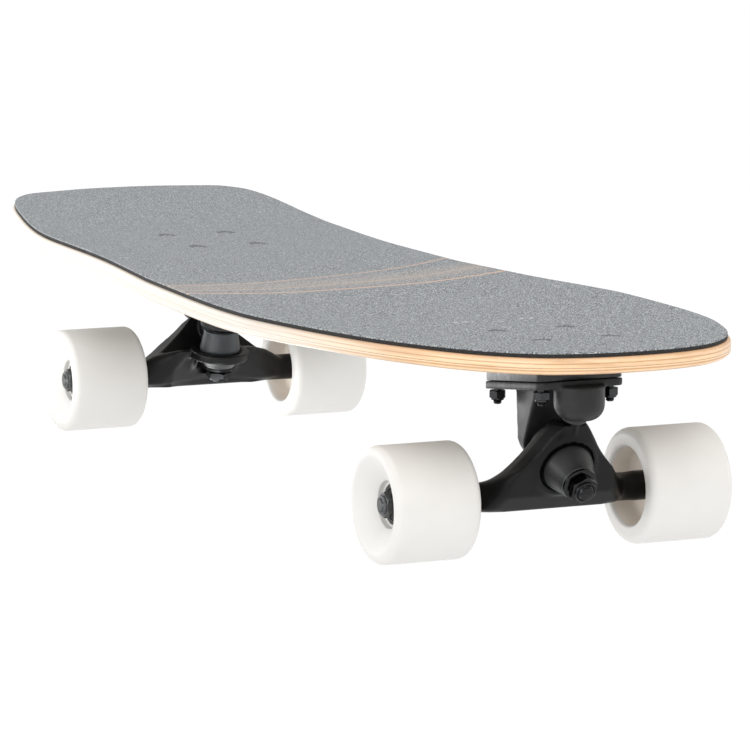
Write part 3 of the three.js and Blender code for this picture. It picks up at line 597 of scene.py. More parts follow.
def bend_sheet(piece, low, thickness, attribute):
    """Stores each point's share of the thickness before it lifts the sheet."""
    store(piece, attribute, lambda x, y, z: (z - low) / thickness)
    lift_points(piece, lambda x, y, z: deck_lift(x, y) / LIFT_LIMIT, LIFT_LIMIT)


def keep_inside(piece):
    """Takes off the last thousandths of a millimetre outside the CAD board's box."""
    for vertex in piece.data.vertices:
        vertex.co = [min(max(value, a), b) for value, a, b in zip(vertex.co, *cad_box)]


# %% [markdown]
# ## Deck
# The real deck shows its seven plies along the edge as fine stripes, light and tan, with a thin
# dark line at the bottom ply. The underside is clear-coated maple with a long straight grain, in the
# board's own shade. The edge stripes read the share of the thickness that was stored before
# bending, so they follow the bend exactly, and are painted pale along the sides and rich towards the
# nose, as painted light and shade. Towards the nose the lower rim is worked thinner.

# %% Deck
RIM_START, RIM_FULL, RIM_WIDTH, RIM_RISE = 90, 230, 26, 1.9


def thin_rim(piece):
    """Raises the lower rim, from nothing at RIM_START to all of it at RIM_FULL."""
    line = [(x, y) for x, y in outline(260) if x > RIM_START - RIM_WIDTH]

    def share(x, y, z):
        if x < RIM_START:
            return 0.0
        away = min(math.hypot(x - px, abs(y) - py) for px, py in line)
        grown = min(1.0, (x - RIM_START) / (RIM_FULL - RIM_START))
        return max(0.0, 1 - away / RIM_WIDTH) ** 2 * grown * (1 - (z - deck_low) / DECK_THICK)

    lift_points(piece, share, RIM_RISE)


deck = flat_sheet(rows=132, columns=28, low=deck_low, thickness=DECK_THICK, rim=2.8)
thin_rim(deck)
bend_sheet(deck, deck_low, DECK_THICK, "ply_height")
keep_inside(deck)
shade(deck, 40)
print("deck:", [round(v / MM, 2) for v in deck.dimensions])

# %% Stripes of the plies
# A thin dark line along the bottom of the edge.
UNDER_LINE = (0.045, 0.038, 0.032)


def plies(level, cream, tan, line):
    return ramp(level, [
        (0.0, UNDER_LINE), (0.035, line), (0.065, cream), (0.13, cream), (0.16, tan), (0.19, tan),
        (0.22, cream), (0.3, cream), (0.33, tan), (0.39, tan), (0.41, cream), (0.46, cream),
        (0.47, line), (0.49, tan), (0.53, cream), (0.66, cream), (0.69, tan), (0.72, tan),
        (0.76, cream), (1.0, tan),
    ])


def edge_stripes(material, height, from_tail):
    """The plies' stripes, painted pale along the board and rich and orange towards the nose: painted
    light on the sides and painted shade on the nose, which faces away from the light.
    """
    along = noise(object_place(material, (0.02, 1, 1)), 0.5, 5, 0.6)
    level = plus(height, remap(along, 0.3, 0.7, -0.006, 0.006))
    plies_painted_lit = plies(level, (0.71, 0.655, 0.585), (0.63, 0.55, 0.47), (0.34, 0.27, 0.2))
    plies_painted_shaded = plies(level, (0.99, 0.665, 0.375), (0.63, 0.325, 0.135), (0.13, 0.065, 0.03))
    return blend_colors(remap(from_tail, 150.0, 300.0, 0.0, 0.95), plies_painted_lit, plies_painted_shaded)


# %% Maple
def maple():
    material = new_material("maple_deck", (0.75, 0.55, 0.35), 0.38,
                            Coat_Weight=0.25, Coat_Roughness=0.25)
    height = stored(material, "ply_height")
    from_tail = split(object_place(material))["X"]
    edge = edge_stripes(material, height, from_tail)
    streak = noise(object_place(material, (0.012, 0.6, 0.6)), 1.2, 6, 0.65)
    edge = blend_colors(remap(streak, 0.35, 0.75, 0.0, 0.4), edge, (0.70, 0.57, 0.45))
    patch = noise(object_place(material, (0.011, 0.03, 0.35)), 1.1, 2, 0.5)
    near_nose = remap(from_tail, 90.0, 220.0, 0.0, 1.0)
    brown = times(remap(patch, 0.48, 0.66, 0.0, 0.45), near_nose)
    edge = blend_colors(brown, edge, (0.50, 0.26, 0.11))
    grain = ramp(streak, [
        (0.25, (0.26, 0.24, 0.215)), (0.5, (0.39, 0.365, 0.33)), (0.8, (0.47, 0.445, 0.41)),
    ])
    underside = less_than(height, 0.02)
    set_input("Base Color", blend_colors(underside, edge, grain))
    set_bump(streak, 0.05, 0.25)
    return material


finished(deck, "maple_board", maple(), "deck", "deck")

# %% [markdown]
# ## Grip sheet
# The top is covered by one sheet of fine grit on a thin foam. From the side, the foam shows as a
# near-black band, partly the foam's colour and partly painted shade of the sheet's side. Over each
# screw head the sheet sinks a little, with a dark ring of painted shade on each dimple's slope, and
# two small slits, pale round a dark middle, lie behind the front screws. Thin curved pinstripes of a
# plain kind cross the sheet. They are worked out from the place of each point.

# %% Grip sheet
GRIP_THICK = 2.9
FOAM_SHARE = 0.7
grip_low = deck_low + DECK_THICK
grip = flat_sheet(rows=220, columns=72, low=grip_low, thickness=GRIP_THICK, rim=0.8,
                  inset=1.8, rims=(1,), segments=3)
bend_sheet(grip, grip_low, GRIP_THICK, "foam_height")
keep_inside(grip)
shade(grip, 50)
print("grip sheet:", len(grip.data.polygons), "faces")

# %% Dimples over the screw heads
SCREW_Y = 20.65
DIMPLE_RADIUS, DIMPLE_DEPTH = 8.0, 1.1
screw_marks = [(x, side * SCREW_Y) for x in (253, 307, -185, -239) for side in (-1, 1)]


def dimple(x, y, z):
    """1 over a screw head, and 0 past a dimple's edge and on the lower face."""
    if z - deck_lift(x, y) - grip_low <= GRIP_THICK / 2:
        return 0.0
    nearest = min(math.hypot(x - mark_x, y - mark_y) for mark_x, mark_y in screw_marks)
    share = max(0.0, 1 - nearest / DIMPLE_RADIUS)
    return share * share * (3 - 2 * share)


store(grip, "sunk", dimple)
lift_points(grip, dimple, -DIMPLE_DEPTH)
print("dimples:", len(screw_marks), "of", DIMPLE_DEPTH, "mm")

# %% Pinstripes
COPPER, BAND_COLOR = (0.62, 0.42, 0.32), (0.5, 0.43, 0.38)
# Where each stripe crosses, how far it drifts across the sheet, half its width, and its strength.
STRIPES = ((24.0, 0.0, 1.5, 0.8), (6.0, -7.0, 0.9, 0.5), (-22.0, -17.0, 1.2, 0.6))


def pinstripes(place, color, grain):
    """Three thin copper arcs that part slowly, with a faint brushed band between them."""
    parts = split(place)
    across = over(plus(parts["Y"], 60.0), 100.0)
    bowed = plus(parts["X"], times(times(across, across), 9.0))
    for middle, drift, half, strength in STRIPES:
        near = absolute(minus(minus(bowed, times(across, drift)), middle))
        color = blend_colors(remap(near, half, half + 0.8, strength, 0.0), color, COPPER)
    band = remap(absolute(plus(bowed, 4.0)), 8.0, 30.0, 0.3, 0.0)
    speckled = math_node("MULTIPLY", clamp=True)(band, remap(grain, 0.35, 0.6, 0.2, 1.8))
    return blend_colors(speckled, color, BAND_COLOR)


print("stripes:", len(STRIPES))

# %% Slits
SLIT_X, SLIT_LENGTH, SLIT_WIDTH = 205.0, 2.4, 4.2


def slits(place, color):
    """Two short slits, even about the middle line, with a pale rim and a dark middle."""
    parts = split(place)
    along = over(minus(parts["X"], SLIT_X), SLIT_LENGTH)
    off = minus(absolute(parts["Y"]), SCREW_Y)
    across = over(off, SLIT_WIDTH)
    squares = [times(part, part) for part in (along, across)]
    reach = plus(*squares)
    color = blend_colors(remap(reach, 0.7, 1.4, 0.85, 0.0), color, (0.72, 0.73, 0.74))
    return blend_colors(remap(reach, 0.2, 0.6, 0.92, 0.0), color, (0.02, 0.021, 0.023))


# %% Grit
def grains(place, fine):
    """Dark and light grains, with a few larger specks, worn even and grey towards the tail."""
    color = ramp(fine, [
        (0.42, (0.05, 0.055, 0.06)), (0.5, (0.19, 0.205, 0.216)), (0.59, (0.62, 0.64, 0.65)),
    ])
    specks = noise(place, 0.5, 2, 0.5)
    color = blend_colors(remap(specks, 0.6, 0.74, 0.0, 0.4), color, (0.68, 0.7, 0.71))
    color = blend_colors(remap(specks, 0.4, 0.28, 0.0, 0.6), color, (0.05, 0.055, 0.06))
    worn = remap(split(place)["X"], 60.0, -160.0, 0.0, 0.45)
    return blend_colors(worn, color, (0.262, 0.276, 0.287))


def grit():
    material = new_material("grip", (0.3, 0.32, 0.34), 0.9)
    place = object_place(material)
    fine = noise(place, 1.1, 6, 0.75)
    broad = remap(noise(place, 0.03, 3), 0.3, 0.7, 0.0, 0.15)
    shaded = blend_colors(broad, grains(place, fine), (0.3, 0.315, 0.325))
    shaded = pinstripes(place, shaded, fine)
    # A dark ring on each dimple's slope, where the sheet sinks: painted shade.
    rim = absolute(minus(stored(material, "sunk"), 0.4))
    shaded = blend_colors(remap(rim, 0.05, 0.3, 0.62, 0.0), shaded, (0.045, 0.048, 0.052))
    shaded = slits(place, shaded)
    # The side is near black: partly dark foam, partly painted shade of the side, which faces away
    # from the light.
    side = less_than(stored(material, "foam_height"), FOAM_SHARE)
    foam_and_shade_stops = [(0.3, (0.008, 0.0078, 0.0075)), (0.7, (0.03, 0.028, 0.026))]
    foam_and_side_shade = ramp(noise(place, 0.9, 4), foam_and_shade_stops)
    set_input("Base Color", blend_colors(side, shaded, foam_and_side_shade))
    set_bump(fine, 0.35, 0.55)
    return material


finished(grip, "grit_sheet", grit(), "deck", "grip_sheet")

# %% [markdown]
# ## Wheels
# Each wheel is a wide urethane tread cast round its two bearing seats. Its section is turned in
# one go: the round outer lip, the hub that the outer bearing sits in, and the wide hollow on the
# inner side. One wheel is turned on the lathe, and its copies are moved, or turned half round for
# the other side.

# %% Where the axles and wheels are
AXLES = {"front": 268.0, "rear": -224.0}
AXLE_HEIGHT = 32.5
OUTWARD = (0, -1, 0)
AXLE_LINE = ((AXLES["front"], 0, AXLE_HEIGHT), OUTWARD)


def to_wheel(truck, side):
    """Takes a piece from the front right wheel to another one."""
    turn = Matrix.Rotation(math.pi if side == "left" else 0, 4, "Z")
    there = Matrix.Translation(Vector((AXLES[truck], 0, AXLE_HEIGHT)) * MM)
    return there @ turn @ Matrix.Translation(Vector(AXLE_LINE[0]) * -MM)


def four_times(piece, name, material, carrier, node):
    """Copies a piece to the four wheels. Its carrier is each wheel, or its hanger."""
    for truck in AXLES:
        for side in ("right", "left"):
            place = f"{truck}_{side}"
            body = {"wheel": f"{place}_wheel", "hanger": f"{truck}_hanger"}[carrier]
            twin = copy_of(piece, to_wheel(truck, side))
            finished(twin, f"{place}_{name}", material, body, f"{place}_{node}")
    bpy.data.objects.remove(piece)


# %% Wheel
WHEEL_RADIUS = 32.5
WHEEL_FACE, WHEEL_BACK = 102.3, 51.3
FACE_LIP, BACK_LIP = 4.5, 5
CORE_RADIUS, CORE_END, HOLLOW_LIGHT_SHARE = 21.9, 67, 0.8
wheel_section = [
    *arc(WHEEL_RADIUS - BACK_LIP, WHEEL_BACK + BACK_LIP, BACK_LIP, -90, 0, 8),
    *arc(WHEEL_RADIUS - FACE_LIP, WHEEL_FACE - FACE_LIP, FACE_LIP, 0, 120, 10),
    *arc(14.0, 93.1, 1.0, 120, 180, 4),
    # The outer bearing's seat, the shoulder between the bearings, and the inner bearing's seat.
    (12.7, 91.0), (11.2, 91.0), (11.2, 83.7), (8.6, 83.7), (8.6, 74.3), (11.2, 74.3), (11.2, 66.7),
    # The hollow on the inner side.
    (17.0, 66.0), *arc(17.6, 62.6, 3.4, 80, 0, 5)[1:],
    (21.8, 54.6), *arc(24.3, WHEEL_BACK + 2.0, 2.0, 190, 270, 4),
]


def mark_rings(piece, name, share_of):
    """Stores a share from each point's radius and place along the front right axle."""
    x0, z0 = AXLES["front"], AXLE_HEIGHT
    store(piece, name, lambda x, y, z: share_of(math.hypot(x - x0, z - z0), -y))


wheel = lathe(wheel_section, AXLE_LINE, 96, ring=True)
# Stores where the hollow inner side is, for its painted light.
mark_rings(wheel, "hollow_painted_light", lambda r, along: HOLLOW_LIGHT_SHARE * (r < CORE_RADIUS and along < CORE_END))
shade(wheel, 30)
four_times(wheel, "tread", wheel_white, "wheel", "wheel")

# %% [markdown]
# ## Bearings, washers and axle nuts
# A bearing shows two bright rings with a pressed shield between them. The section has the rings'
# small round edges, the sunken shield and the groove that it is crimped into. Both sides of a
# bearing are alike, so the section is one side and its mirror.

# %% Bearings
BEARING_WIDTH = 7
BEARING_FACES = {"outer": 91.0, "inner": 74.0}
SHIELD_START, SHIELD_END = 6.15, 8.95
# (radius, depth under the face) points on one side.
bearing_side = [
    (4.0, 0.4), (4.4, 0), (5.7, 0), (6.1, 0.25), (6.2, 0.5), (6.9, 0.5), (7.1, 0.35), (8.4, 0.35),
    (8.6, 0.55), (8.9, 0.55), (9.0, 0.1), (9.2, 0), (10.5, 0), (10.85, 0.15), (11.0, 0.5),
]
for which, face in BEARING_FACES.items():
    section = [(r, face - depth) for r, depth in bearing_side]
    section += [(r, face - BEARING_WIDTH + depth) for r, depth in reversed(bearing_side)]
    bearing = lathe(section, AXLE_LINE, 48, ring=True)
    mark_rings(bearing, "shield", lambda r, along: float(SHIELD_START < r < SHIELD_END))
    shade(bearing, 30)
    four_times(bearing, f"{which}_race", bearing_steel, "wheel", f"{which}_bearing")

# %% Axle washers
washer_section = [(3.9, 91.1), (6.1, 91.1), (6.4, 91.35), (6.4, 92.1), (6.15, 92.35), (3.9, 92.35)]
washer = lathe(washer_section, AXLE_LINE, 40, ring=True)
shade(washer)
four_times(washer, "speed_washer", plain_steel, "hanger", "axle_washer")

# %% [markdown]
# ## Nuts
# A hexagon nut is a six-sided bar whose corners were turned off by a cone, which leaves the curved
# lines on its flats. So a six-sided cylinder is intersected with a turned lens shape. Lock nuts
# carry a round collar with a nylon ring, which is turned on the same axis and joined on.

# %% A hexagon with its corners turned off
FACE_SHARE, CHAMFER_SHARE = 0.96, 0.55


def hexagon(flats, low, high, line):
    centre, axis = line
    top, bottom = max(low, high), min(low, high)
    corner = flats / 2 / math.cos(math.pi / 6)
    deselect_all()
    bpy.ops.mesh.primitive_cylinder_add(
        vertices=6, radius=corner * MM, depth=(top - bottom) * MM,
        location=(centre + axis * (top + bottom) / 2) * MM,
        rotation=axis.to_track_quat("Z", "Y").to_euler(),
    )
    bar = bpy.context.object
    bpy.ops.object.transform_apply()
    edge = flats / 2 * FACE_SHARE
    drop = (corner - edge) * CHAMFER_SHARE
    past = corner + 0.05
    lens = lathe([
        (0, bottom - 1), (edge, bottom - 1), (edge, bottom), (past, bottom + drop),
        (past, top - drop), (edge, top), (edge, top + 1), (0, top + 1),
    ], line, 36)
    add_modifier(bar, "BOOLEAN", operation="INTERSECT", object=lens, solver="EXACT")
    bpy.data.objects.remove(lens)
    return bar


# %% One nut at a place
def hex_nut(flats, low, high, collar, bore, line):
    """A hexagon from low to high, with a collar past the high end."""
    line = Vector(line[0]), Vector(line[1]).normalized()
    nut = hexagon(flats, low, high, line)
    up = 1 if high > low else -1
    r = flats / 2 * 0.86
    band = lathe([
        (bore, high - up * 0.5), (r, high - up * 0.5), (r, high + up * (collar - 0.5)),
        (r - 0.2, high + up * (collar - 0.15)), (r - 0.6, high + up * collar),
        (bore + 0.5, high + up * collar), (bore, high + up * (collar - 0.4)),
    ], line, 36, ring=True)
    join(nut, [band])
    shade(nut, 30)
    return nut


axle_nut = hex_nut(12.7, 92.5, 96.6, 1.2, 3.7, AXLE_LINE)
four_times(axle_nut, "lock_nut", plain_steel, "hanger", "axle_nut")

# %% [markdown]
# ## Axles
# The axle is one steel rod right through the hanger. Only its threaded ends show, inside the nuts,
# so its section has the thread's ridges at both ends and a small chamfer.

# %% Threads
def thread(radius, start, end, pitch=1.0, depth=0.35):
    turns = max(1, round(abs(end - start) / pitch))
    step = (end - start) / turns
    points = []
    for i in range(turns):
        points += [(radius - depth, start + step * i), (radius, start + step * (i + 0.5))]
    return points + [(radius - depth, end)]


print("points of a 6 mm thread:", len(thread(4, 0, 6)))

# %% Axles
AXLE_RADIUS, THREAD_START, THREAD_END, AXLE_END = 3.7, 91.4, 97.9, 98.4
ridges = thread(AXLE_RADIUS, THREAD_START, THREAD_END)
axle_half = ridges + [(AXLE_RADIUS - 0.8, AXLE_END), (0, AXLE_END)]
axle_section = [(r, -h) for r, h in reversed(axle_half)] + axle_half
for truck, x in AXLES.items():
    rod = lathe(axle_section, ((x, 0, AXLE_HEIGHT), OUTWARD), 32)
    shade(rod, 20)
    on_truck(rod, truck, "axle_rod", plain_steel, "axle", f"{truck}_hanger")

# %% [markdown]
# ## Castings
# The baseplates and hangers are castings: nothing on them is sharp, and every inner corner has a
# fillet. A copy of the CAD part has the right forms, but with flat facets and sharp corners. Its
# skin is merged and rebuilt by a voxel Remesh as an even fine mesh, and Smooth then melts the
# corners into fillets, which is what a casting's fillets look like. Where a form of the casting is
# fuller than the CAD part, its skin is joined on before the remesh, which makes one skin of all:
# tapers run from the feet of the front arch to the arms, and shelves with a wall under them from
# the rear ring. After it, points are moved: the front arch gets narrower in front, and the rear
# ring thinner below its middle.

# %% The kingpins' lines
KINGPINS = {"front": (292.6, 53.5, -65.0), "rear": (-199.5, 46.5, 8.5)}


def kingpin_line(truck):
    """A point on the kingpin's line, in the hanger's ring, and the direction to the bolt's head."""
    x, z, turn = KINGPINS[truck]
    angle = math.radians(turn)
    return (x, 0, z), (math.sin(angle), 0, math.cos(angle))


def ring_place(truck, x, y, z):
    """Distance from the kingpin's line, and height along it from the hanger's ring."""
    centre, axis = (Vector(part) for part in kingpin_line(truck))
    offset = Vector((x, y, z)) - centre
    height = offset.dot(axis)
    return (offset - axis * height).length, height


print("front kingpin points along", kingpin_line("front")[1])

# %% A casting from its CAD part
def casting(node, voxel, rounds, extra=()):
    """Remeshes a copy of a CAD part, with other skins, and smooths it in rounds."""
    piece = put_in_scene(node, nodes[node].data.copy())
    open_piece(piece)
    tidy_shell(0.01)
    close_piece()
    join(piece, extra)
    add_modifier(piece, "REMESH", mode="VOXEL", voxel_size=voxel * MM)
    add_modifier(piece, "SMOOTH", factor=0.5, iterations=rounds)
    make_active(piece)
    bpy.ops.object.shade_smooth()
    print(node, len(piece.data.polygons), "faces")
    return piece


# %% Shares that fade in and out
def above(value, start, fade):
    """How far a value is past start, as a share of the fade."""
    return (value - start) / fade


def below(value, end, fade):
    return (end - value) / fade


def clamp(share):
    return min(max(share, 0.0), 1.0)


# %% The front arch and the rear ring
ARCH_NARROWING, RING_THINNING = 3.6, 0.55


def narrow_arch(piece):
    """Narrows the front arch in front, so that its flank shows as a lit band."""
    for vertex, x, y, z in points_of(piece):
        radius, height = ring_place("front", x, y, z)
        up = clamp(above(z, 40, 22)) * clamp(below(z, 84, 6))
        front = clamp(below(height, 3, 8))
        outside = clamp(above(radius, 16.5, 6))
        shift = ARCH_NARROWING * up * front * outside * clamp(above(abs(y), 0, 8)) * MM
        vertex.co.y -= math.copysign(shift, y)


def thin_ring(piece):
    """Thins the rear ring below its middle to a flange."""
    axis = Vector(kingpin_line("rear")[1])
    for vertex, x, y, z in points_of(piece):
        radius, height = ring_place("rear", x, y, z)
        if height < 0:
            share = clamp(below(radius, 22, 2)) * clamp(above(height, -6.5, 2))
            vertex.co -= axis * height * RING_THINNING * share * MM


# %% Where a hanger melts
def front_melt(x, y, z):
    """The lip round the front bushing, and the arch's outline a little."""
    radius, height = ring_place("front", x, y, z)
    lip = min(above(radius, 15.6, 0.8), below(radius, 24, 2), below(height, -2.0, 1.5))
    return max(0.9 * min(lip, 1.0), min(above(radius, 18, 8), 0.16))


def rear_melt(x, y, z):
    radius, height = ring_place("rear", x, y, z)
    inner = 11.0 if height < -4 else 16.5
    return 0.9 * min(above(radius, inner, 1.5), below(radius, 31, 4), below(height, 2.5, 3))


def arm_melt(x, y, z):
    return min(above(abs(y), 30, 7), below(abs(y), 56, 5))


def melt(piece, share_of, rounds):
    weighted(piece, share_of, "SMOOTH", factor=0.5, iterations=rounds)


# %% Tapers, shelves and walls
# Circles (x, distance from the middle line, z, radius), which the skin is pulled tight round.
SHOULDERS = {
    "front": ((272, 35, 27.5, 7.5), (277, 35, 43, 4), (268, 54, 27.5, 5), (268, 54, 38.6, 4)),
    "rear": (
        (-208, 21, 44, 5), (-206, 20, 50.2, 5), (-218, 8, 30, 5), (-212, 13, 41, 4),
        (-214.5, 35, 46.5, 4), (-217, 38, 27, 4), (-221.5, 51, 37.5, 4.5), (-221.5, 51, 27.5, 4.5),
    ),
}


def shoulders(truck):
    struts = []
    for side in (-1, 1):
        deselect_all()
        for x, y, z, radius in SHOULDERS[truck]:
            place = Vector((x, side * y, z)) * MM
            bpy.ops.mesh.primitive_circle_add(vertices=16, radius=radius * MM, location=place)
            if bpy.context.mode == "OBJECT":
                strut = bpy.context.object
                bpy.ops.object.transform_apply()
                bpy.ops.object.mode_set(mode="EDIT")
        bpy.ops.mesh.select_all(action="SELECT")
        bpy.ops.mesh.convex_hull()
        close_piece()
        struts.append(strut)
    return struts


# %% Baseplates and hangers
# Rounds of smoothing, coat, what moves points, where it melts, and rounds for that and the arms.
HANGERS = {
    "front": (5, shaded_front_coat, narrow_arch, front_melt, 60, 200),
    "rear": (7, shaded_rear_coat, thin_ring, rear_melt, 70, 60),
}
for truck, (rounds, coat, shape, ring_melt, ring_rounds, arm_rounds) in HANGERS.items():
    plate = casting(f"{truck}_baseplate", voxel=0.75, rounds=6)
    on_truck(plate, truck, "plate_casting", lit_plate_coat, "baseplate")
    hanger = casting(f"{truck}_hanger", voxel=0.7, rounds=rounds, extra=shoulders(truck))
    shape(hanger)
    melt(hanger, ring_melt, ring_rounds)
    melt(hanger, arm_melt, arm_rounds)
    on_truck(hanger, truck, "hanger_casting", coat, "hanger",
             f"{truck}_hanger")

# %% [markdown]
# ## Kingpins, bushings and washers
# The kingpin is a bolt through the whole stack: cup washer, board-side bushing, the hanger's ring,
# road-side bushing, cup washer and lock nut. All of them are turned on the kingpin's own line. The
# bushings are cast urethane with a waist, softly rounded at both ends. They are what the truck
# leans on. Here they are fixed to no body: each keeps its place baked into its mesh. Their bore,
# which can't be seen, is wider than the kingpin.

# %% Where the stacks lie
# Heights on the kingpin's line from the middle of the ring, in mm.
STACK = {
    "front": dict(board_seat=4.3, board=19.3, road_seat=-4.3, road=-21.9,
                  nut=-24.2, nut_end=-30.2, end=-32.2, head=32.1),
    "rear": dict(board_seat=3.0, board=17.2, road_seat=-1.4, road=-8.4,
                 nut=-10.4, nut_end=-16.2, end=-17.6, head=42.3),
}
# Radii of the bushings' wide and narrow ends, and of the washers, whose thickness follows.
BUSHINGS = {
    "front": dict(board=(14.0, 12.0), road=(14.2, 10.0), washer=9.8, thick=1.7),
    "rear": dict(board=(13.0, 11.0), road=(12.6, 8.8), washer=9.4, thick=1.5),
}
print("front stack:", STACK["front"]["board"] - STACK["front"]["road"], "mm")

# %% Bushings
BORE = 7.4
# (share of the length, share of the step from the narrow radius to the wide one) points.
waist_shares = [
    (0.0, 0.62), (0.03, 0.86), (0.1, 0.99), (0.2, 0.97), (0.4, 0.72), (0.62, 0.38), (0.82, 0.1),
    (0.93, 0.02), (0.98, -0.12), (1.0, -0.32),
]
for truck in AXLES:
    line = kingpin_line(truck)
    # The road-side bushings take the darker copy, which is painted shade.
    for which, away, made_of in (("board", 1, bushing_grey), ("road", -1, shaded_bushing)):
        seat, end = STACK[truck][f"{which}_seat"], STACK[truck][which]
        wide, narrow = BUSHINGS[truck][which]
        waist = [(narrow + (wide - narrow) * s, seat + (end - seat) * t) for t, s in waist_shares]
        piece = lathe([(BORE, seat), *smooth_line(waist, 24), (BORE, end)], line, 64, ring=True)
        shade(piece, 40)
        on_truck(piece, truck, f"{which}_bushing", made_of, f"{which}_side_bushing",
                 body=None)
        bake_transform(piece)

# %% Cup washers
CUP_BORE = 4.8
for truck in AXLES:
    radius, sheet = BUSHINGS[truck]["washer"], BUSHINGS[truck]["thick"] * 0.55
    for which, away in (("board", 1), ("road", -1)):
        seat = STACK[truck][which] + away * 0.1
        # Flat in the middle, with a short turned-over rim towards the bushing.
        cup = lathe([
            (CUP_BORE, seat), (radius - 1.6, seat), (radius - 0.9, seat - away * 0.25),
            (radius - 0.55, seat - away * 0.9), (radius, seat - away * 0.85),
            (radius - 0.2, seat + away * sheet * 0.5),
            (radius - 0.9, seat + away * sheet * 0.95), (CUP_BORE, seat + away * sheet),
        ], kingpin_line(truck), 56, ring=True)
        shade(cup, 40)
        on_truck(cup, truck, f"{which}_cup_washer", nut_steel_by_light[truck], f"{which}_side_washer")

# %% Kingpins and their nuts
KINGPIN_RADIUS, KINGPIN_FLATS = 4.6, 14.3
for truck in AXLES:
    line, made_of, stack = kingpin_line(truck), nut_steel_by_light[truck], STACK[truck]
    head, end, thread_top = stack["head"], stack["end"], stack["nut"] + 1
    bolt = lathe([
        (0, head + 2), (KINGPIN_RADIUS, head + 2), (KINGPIN_RADIUS, thread_top),
        *thread(KINGPIN_RADIUS, thread_top, end + 1.2, 1.2, 0.4),
        (3.9, end + 0.5), (2.8, end + 0.1), (0, end),
    ], line, 40)
    shade(bolt, 25)
    join(bolt, [hex_nut(KINGPIN_FLATS, head + 0.3, head + 5.5, 0.3, 1.0, line)])
    on_truck(bolt, truck, "kingpin_bolt", made_of, "kingpin")
    nut = hex_nut(KINGPIN_FLATS, stack["nut"], stack["nut_end"] + 1.6, 1.6, KINGPIN_RADIUS, line)
    on_truck(nut, truck, "kingpin_lock_nut", made_of, "kingpin_nut")

# %% [markdown]
# ## Screws and their nuts
# Eight screws hold the two trucks. Their heads are under the grip sheet, so what shows is a small
# lock nut and the screw's threaded end under each corner of the plates. One nut and one screw are
# made, and copied to the top of each CAD nut.

# %% Screws
SCREW_LINE = ((0, 0, 0), (0, 0, 1))
SCREW_RADIUS, SCREW_END, SCREW_TOP = 2.4, -7.6, 12
small_nut = hex_nut(8.6, 0, -4.2, 1.2, SCREW_RADIUS, SCREW_LINE)
screw = lathe([
    (0, SCREW_END), (1.7, SCREW_END), *reversed(thread(SCREW_RADIUS, -1, -7.1, 0.8, 0.3)),
    (SCREW_RADIUS, SCREW_TOP), (0, SCREW_TOP),
], SCREW_LINE, 24)
shade(screw, 25)
for truck in AXLES:
    for corner in ("rear_right", "rear_left", "front_right", "front_left"):
        low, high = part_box(f"{truck}_nut_{corner}")
        top = Matrix.Translation(((low.x + high.x) / 2, (low.y + high.y) / 2, high.z))
        for piece, kind in ((small_nut, "nut"), (screw, "screw")):
            on_truck(copy_of(piece, top), truck, f"{corner}_plate_{kind}", black_steel,
                     f"{kind}_{corner}")
bpy.data.objects.remove(small_nut)
bpy.data.objects.remove(screw)

# %% [markdown]
# ## Risers and pivot cups
# The front riser is a wedge of rubber that tips the truck, and the rear one a flat pad. A cube is
# added at size, its upright corners are bevelled, and Bisect cuts it to the slopes of the deck
# above and of the plate below. The pivot cups are small turned cups that sit deep in the plates,
# so the CAD cup stays and only gets its plastic.

# %% Risers
RISER_LENGTH, RISER_WIDTH, RISER_SHIFT = 69, 51, 12
RISER_SLOPES = {"front": math.tan(math.radians(7)), "rear": 0.0}


def riser(truck):
    x = AXLES[truck] + RISER_SHIFT
    ends = x - 30, x + 30
    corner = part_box(f"{truck}_riser")[0] / MM
    lower = [corner.z + RISER_SLOPES[truck] * (end - corner.x) for end in ends]
    upper = [deck_low + deck_lift(end, 0) + 0.05 for end in ends]
    deselect_all()
    bpy.ops.mesh.primitive_cube_add(size=1, location=(x * MM, 0, 0.1))
    pad = bpy.context.object
    pad.scale = (RISER_LENGTH * MM, RISER_WIDTH * MM, 0.08)
    bpy.ops.object.transform_apply()
    open_piece(pad)
    pick("EDGE", lambda edge: abs(edge.verts[0].co.z - edge.verts[1].co.z) > 0.05)
    bpy.ops.mesh.bevel(offset=4.5 * MM, segments=6)
    for heights, outward in ((lower, -1), (upper, 1)):
        a, b = (Vector((end, 0, height)) for end, height in zip(ends, heights))
        normal = Vector((-(b - a).z, 0, (b - a).x)).normalized() * outward
        bpy.ops.mesh.select_all(action="SELECT")
        bpy.ops.mesh.bisect(plane_co=a * MM, plane_no=normal, use_fill=True, clear_outer=True)
    tidy_shell()
    pick("EDGE", lambda edge: len(edge.link_faces) == 2 and edge.calc_face_angle(0) > 1.0)
    bpy.ops.mesh.bevel(offset=0.5 * MM, segments=2)
    close_piece()
    shade(pad, 40)
    return pad


for truck in AXLES:
    on_truck(riser(truck), truck, "riser_pad", riser_rubber, "riser")
    cup = nodes[f"{truck}_pivot_cup"]
    cup.data.materials.clear()
    cup.data.materials.append(cup_plastic)

# %% [markdown]
# ## Floor, light and camera
# The photograph is a high-key studio picture: white ground, soft light from all round, hardly any
# shadow. A pale floor and a white world give that. Four large soft lights stand above, in front
# and at both sides. A long panel and a card light the left edge and the wheels, and two small
# cards near the trucks make the grey highlights along the front arch and the rear hanger. The
# camera stands where the photograph was taken from, about 2.6 m away with a long lens.

# %% Floor
deselect_all()
bpy.ops.mesh.primitive_plane_add(size=40, location=(0, 0, 0))
floor = bpy.context.object
floor.name = "studio_floor"
floor_white = new_material("studio_floor", (0.03, 0.03, 0.03), 0.9, Specular_IOR_Level=0.0,
                           Emission_Color=(1, 1, 1, 1), Emission_Strength=1.0)
floor.data.materials.append(floor_white)
print("floor:", floor.name)

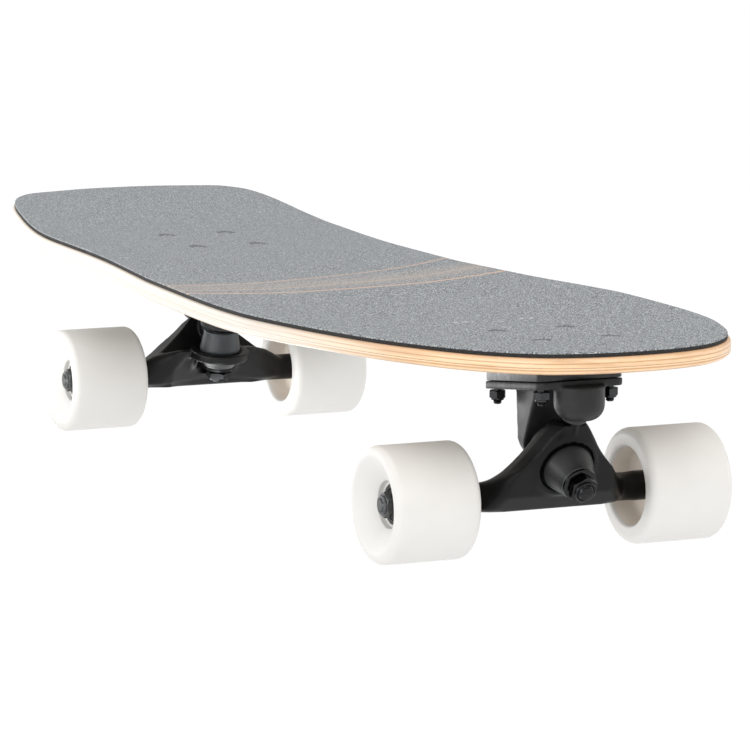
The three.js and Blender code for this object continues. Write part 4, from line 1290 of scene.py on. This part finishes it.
# %% World
WORLD_STRENGTH = 0.55
world = bpy.data.worlds.new("studio")
bpy.context.scene.world = world
world.use_nodes = True
seen = add_node(world.node_tree, "LightPath").outputs["Is Camera Ray"]
strength = remap(seen, 0.0, 1.0, WORLD_STRENGTH, 1.0)
feed(world.node_tree.nodes["Background"], (1.0, 1.0, 1.0), strength)
print("world lights the board at", WORLD_STRENGTH, "and is seen at 1")

# %% Lights
# Name, place and target in metres, width and height in metres, and watts.
LIGHTS = [
    ("left_light", (1.35, -2.4, 0.5), (0, 0, 0.08), (2.6, 0.9), 18),
    ("left_panel", (-0.7, -0.85, 0.3), (0.1, 0.0, 0.2), (2.3, 0.56), 5.4),
    ("left_card", (-0.24, -0.36, 0.004), (-0.24, -0.36, 1.0), (0.36, 0.36), 1.1),
    ("arch_card", (0.08, -0.07, 0.06), (0.285, -0.025, 0.062), (0.1, 0.06), 0.045),
    ("rear_card", (-0.21, -0.02, 0.004), (-0.224, 0.062, 0.03), (0.1, 0.04), 0.075),
    ("top_light", (0.1, -0.1, 2.1), (0, 0, 0.1), (2.2, 2.2), 24),
    ("front_light", (3.6, 0.0, 1.9), (0, 0, 0.08), (2.4, 1.2), 44),
    ("right_light", (0.9, 2.1, 0.6), (0, 0, 0.08), (1.4, 0.8), 7),
]
for name, place, target, size, watts in LIGHTS:
    lamp = bpy.data.lights.new(name, "AREA")
    lamp.shape = "RECTANGLE"
    lamp.size, lamp.size_y = size
    lamp.energy = watts
    holder = put_in_scene(name, lamp)
    holder.location = place
    holder.visible_camera = False
    holder.rotation_euler = (Vector(target) - Vector(place)).to_track_quat("-Z", "Y").to_euler()
print("lights:", len(LIGHTS))

# %% Camera
CAMERA_PLACE = (2349.8736, -1043.8064, 446.8343)
YAW, PITCH, ROLL = 0.425116937, 0.148952773, 0.00191142978
FOCAL_PIXELS, PICTURE_PIXELS, SENSOR = 4300, 750, 36
view = Vector((-math.cos(YAW) * math.cos(PITCH), math.sin(YAW) * math.cos(PITCH), -math.sin(PITCH)))
right = view.cross(Vector((0, 0, 1))).normalized()
level = Matrix((right, right.cross(view), -view)).transposed()
lens = bpy.data.cameras.new("camera")
lens.sensor_width = SENSOR
lens.lens = SENSOR * FOCAL_PIXELS / PICTURE_PIXELS
lens.clip_end = 100
camera = put_in_scene("camera", lens)
matrix = (level @ Matrix.Rotation(ROLL, 3, "Z")).to_4x4()
matrix.translation = Vector(CAMERA_PLACE) * MM
camera.matrix_world = matrix
bpy.context.scene.camera = camera
print("camera lens:", round(lens.lens, 1), "mm")

# The colours are shown as they are.
view_settings = bpy.context.scene.view_settings
view_settings.view_transform, view_settings.look = "Standard", "None"
view_settings.exposure = 0.0
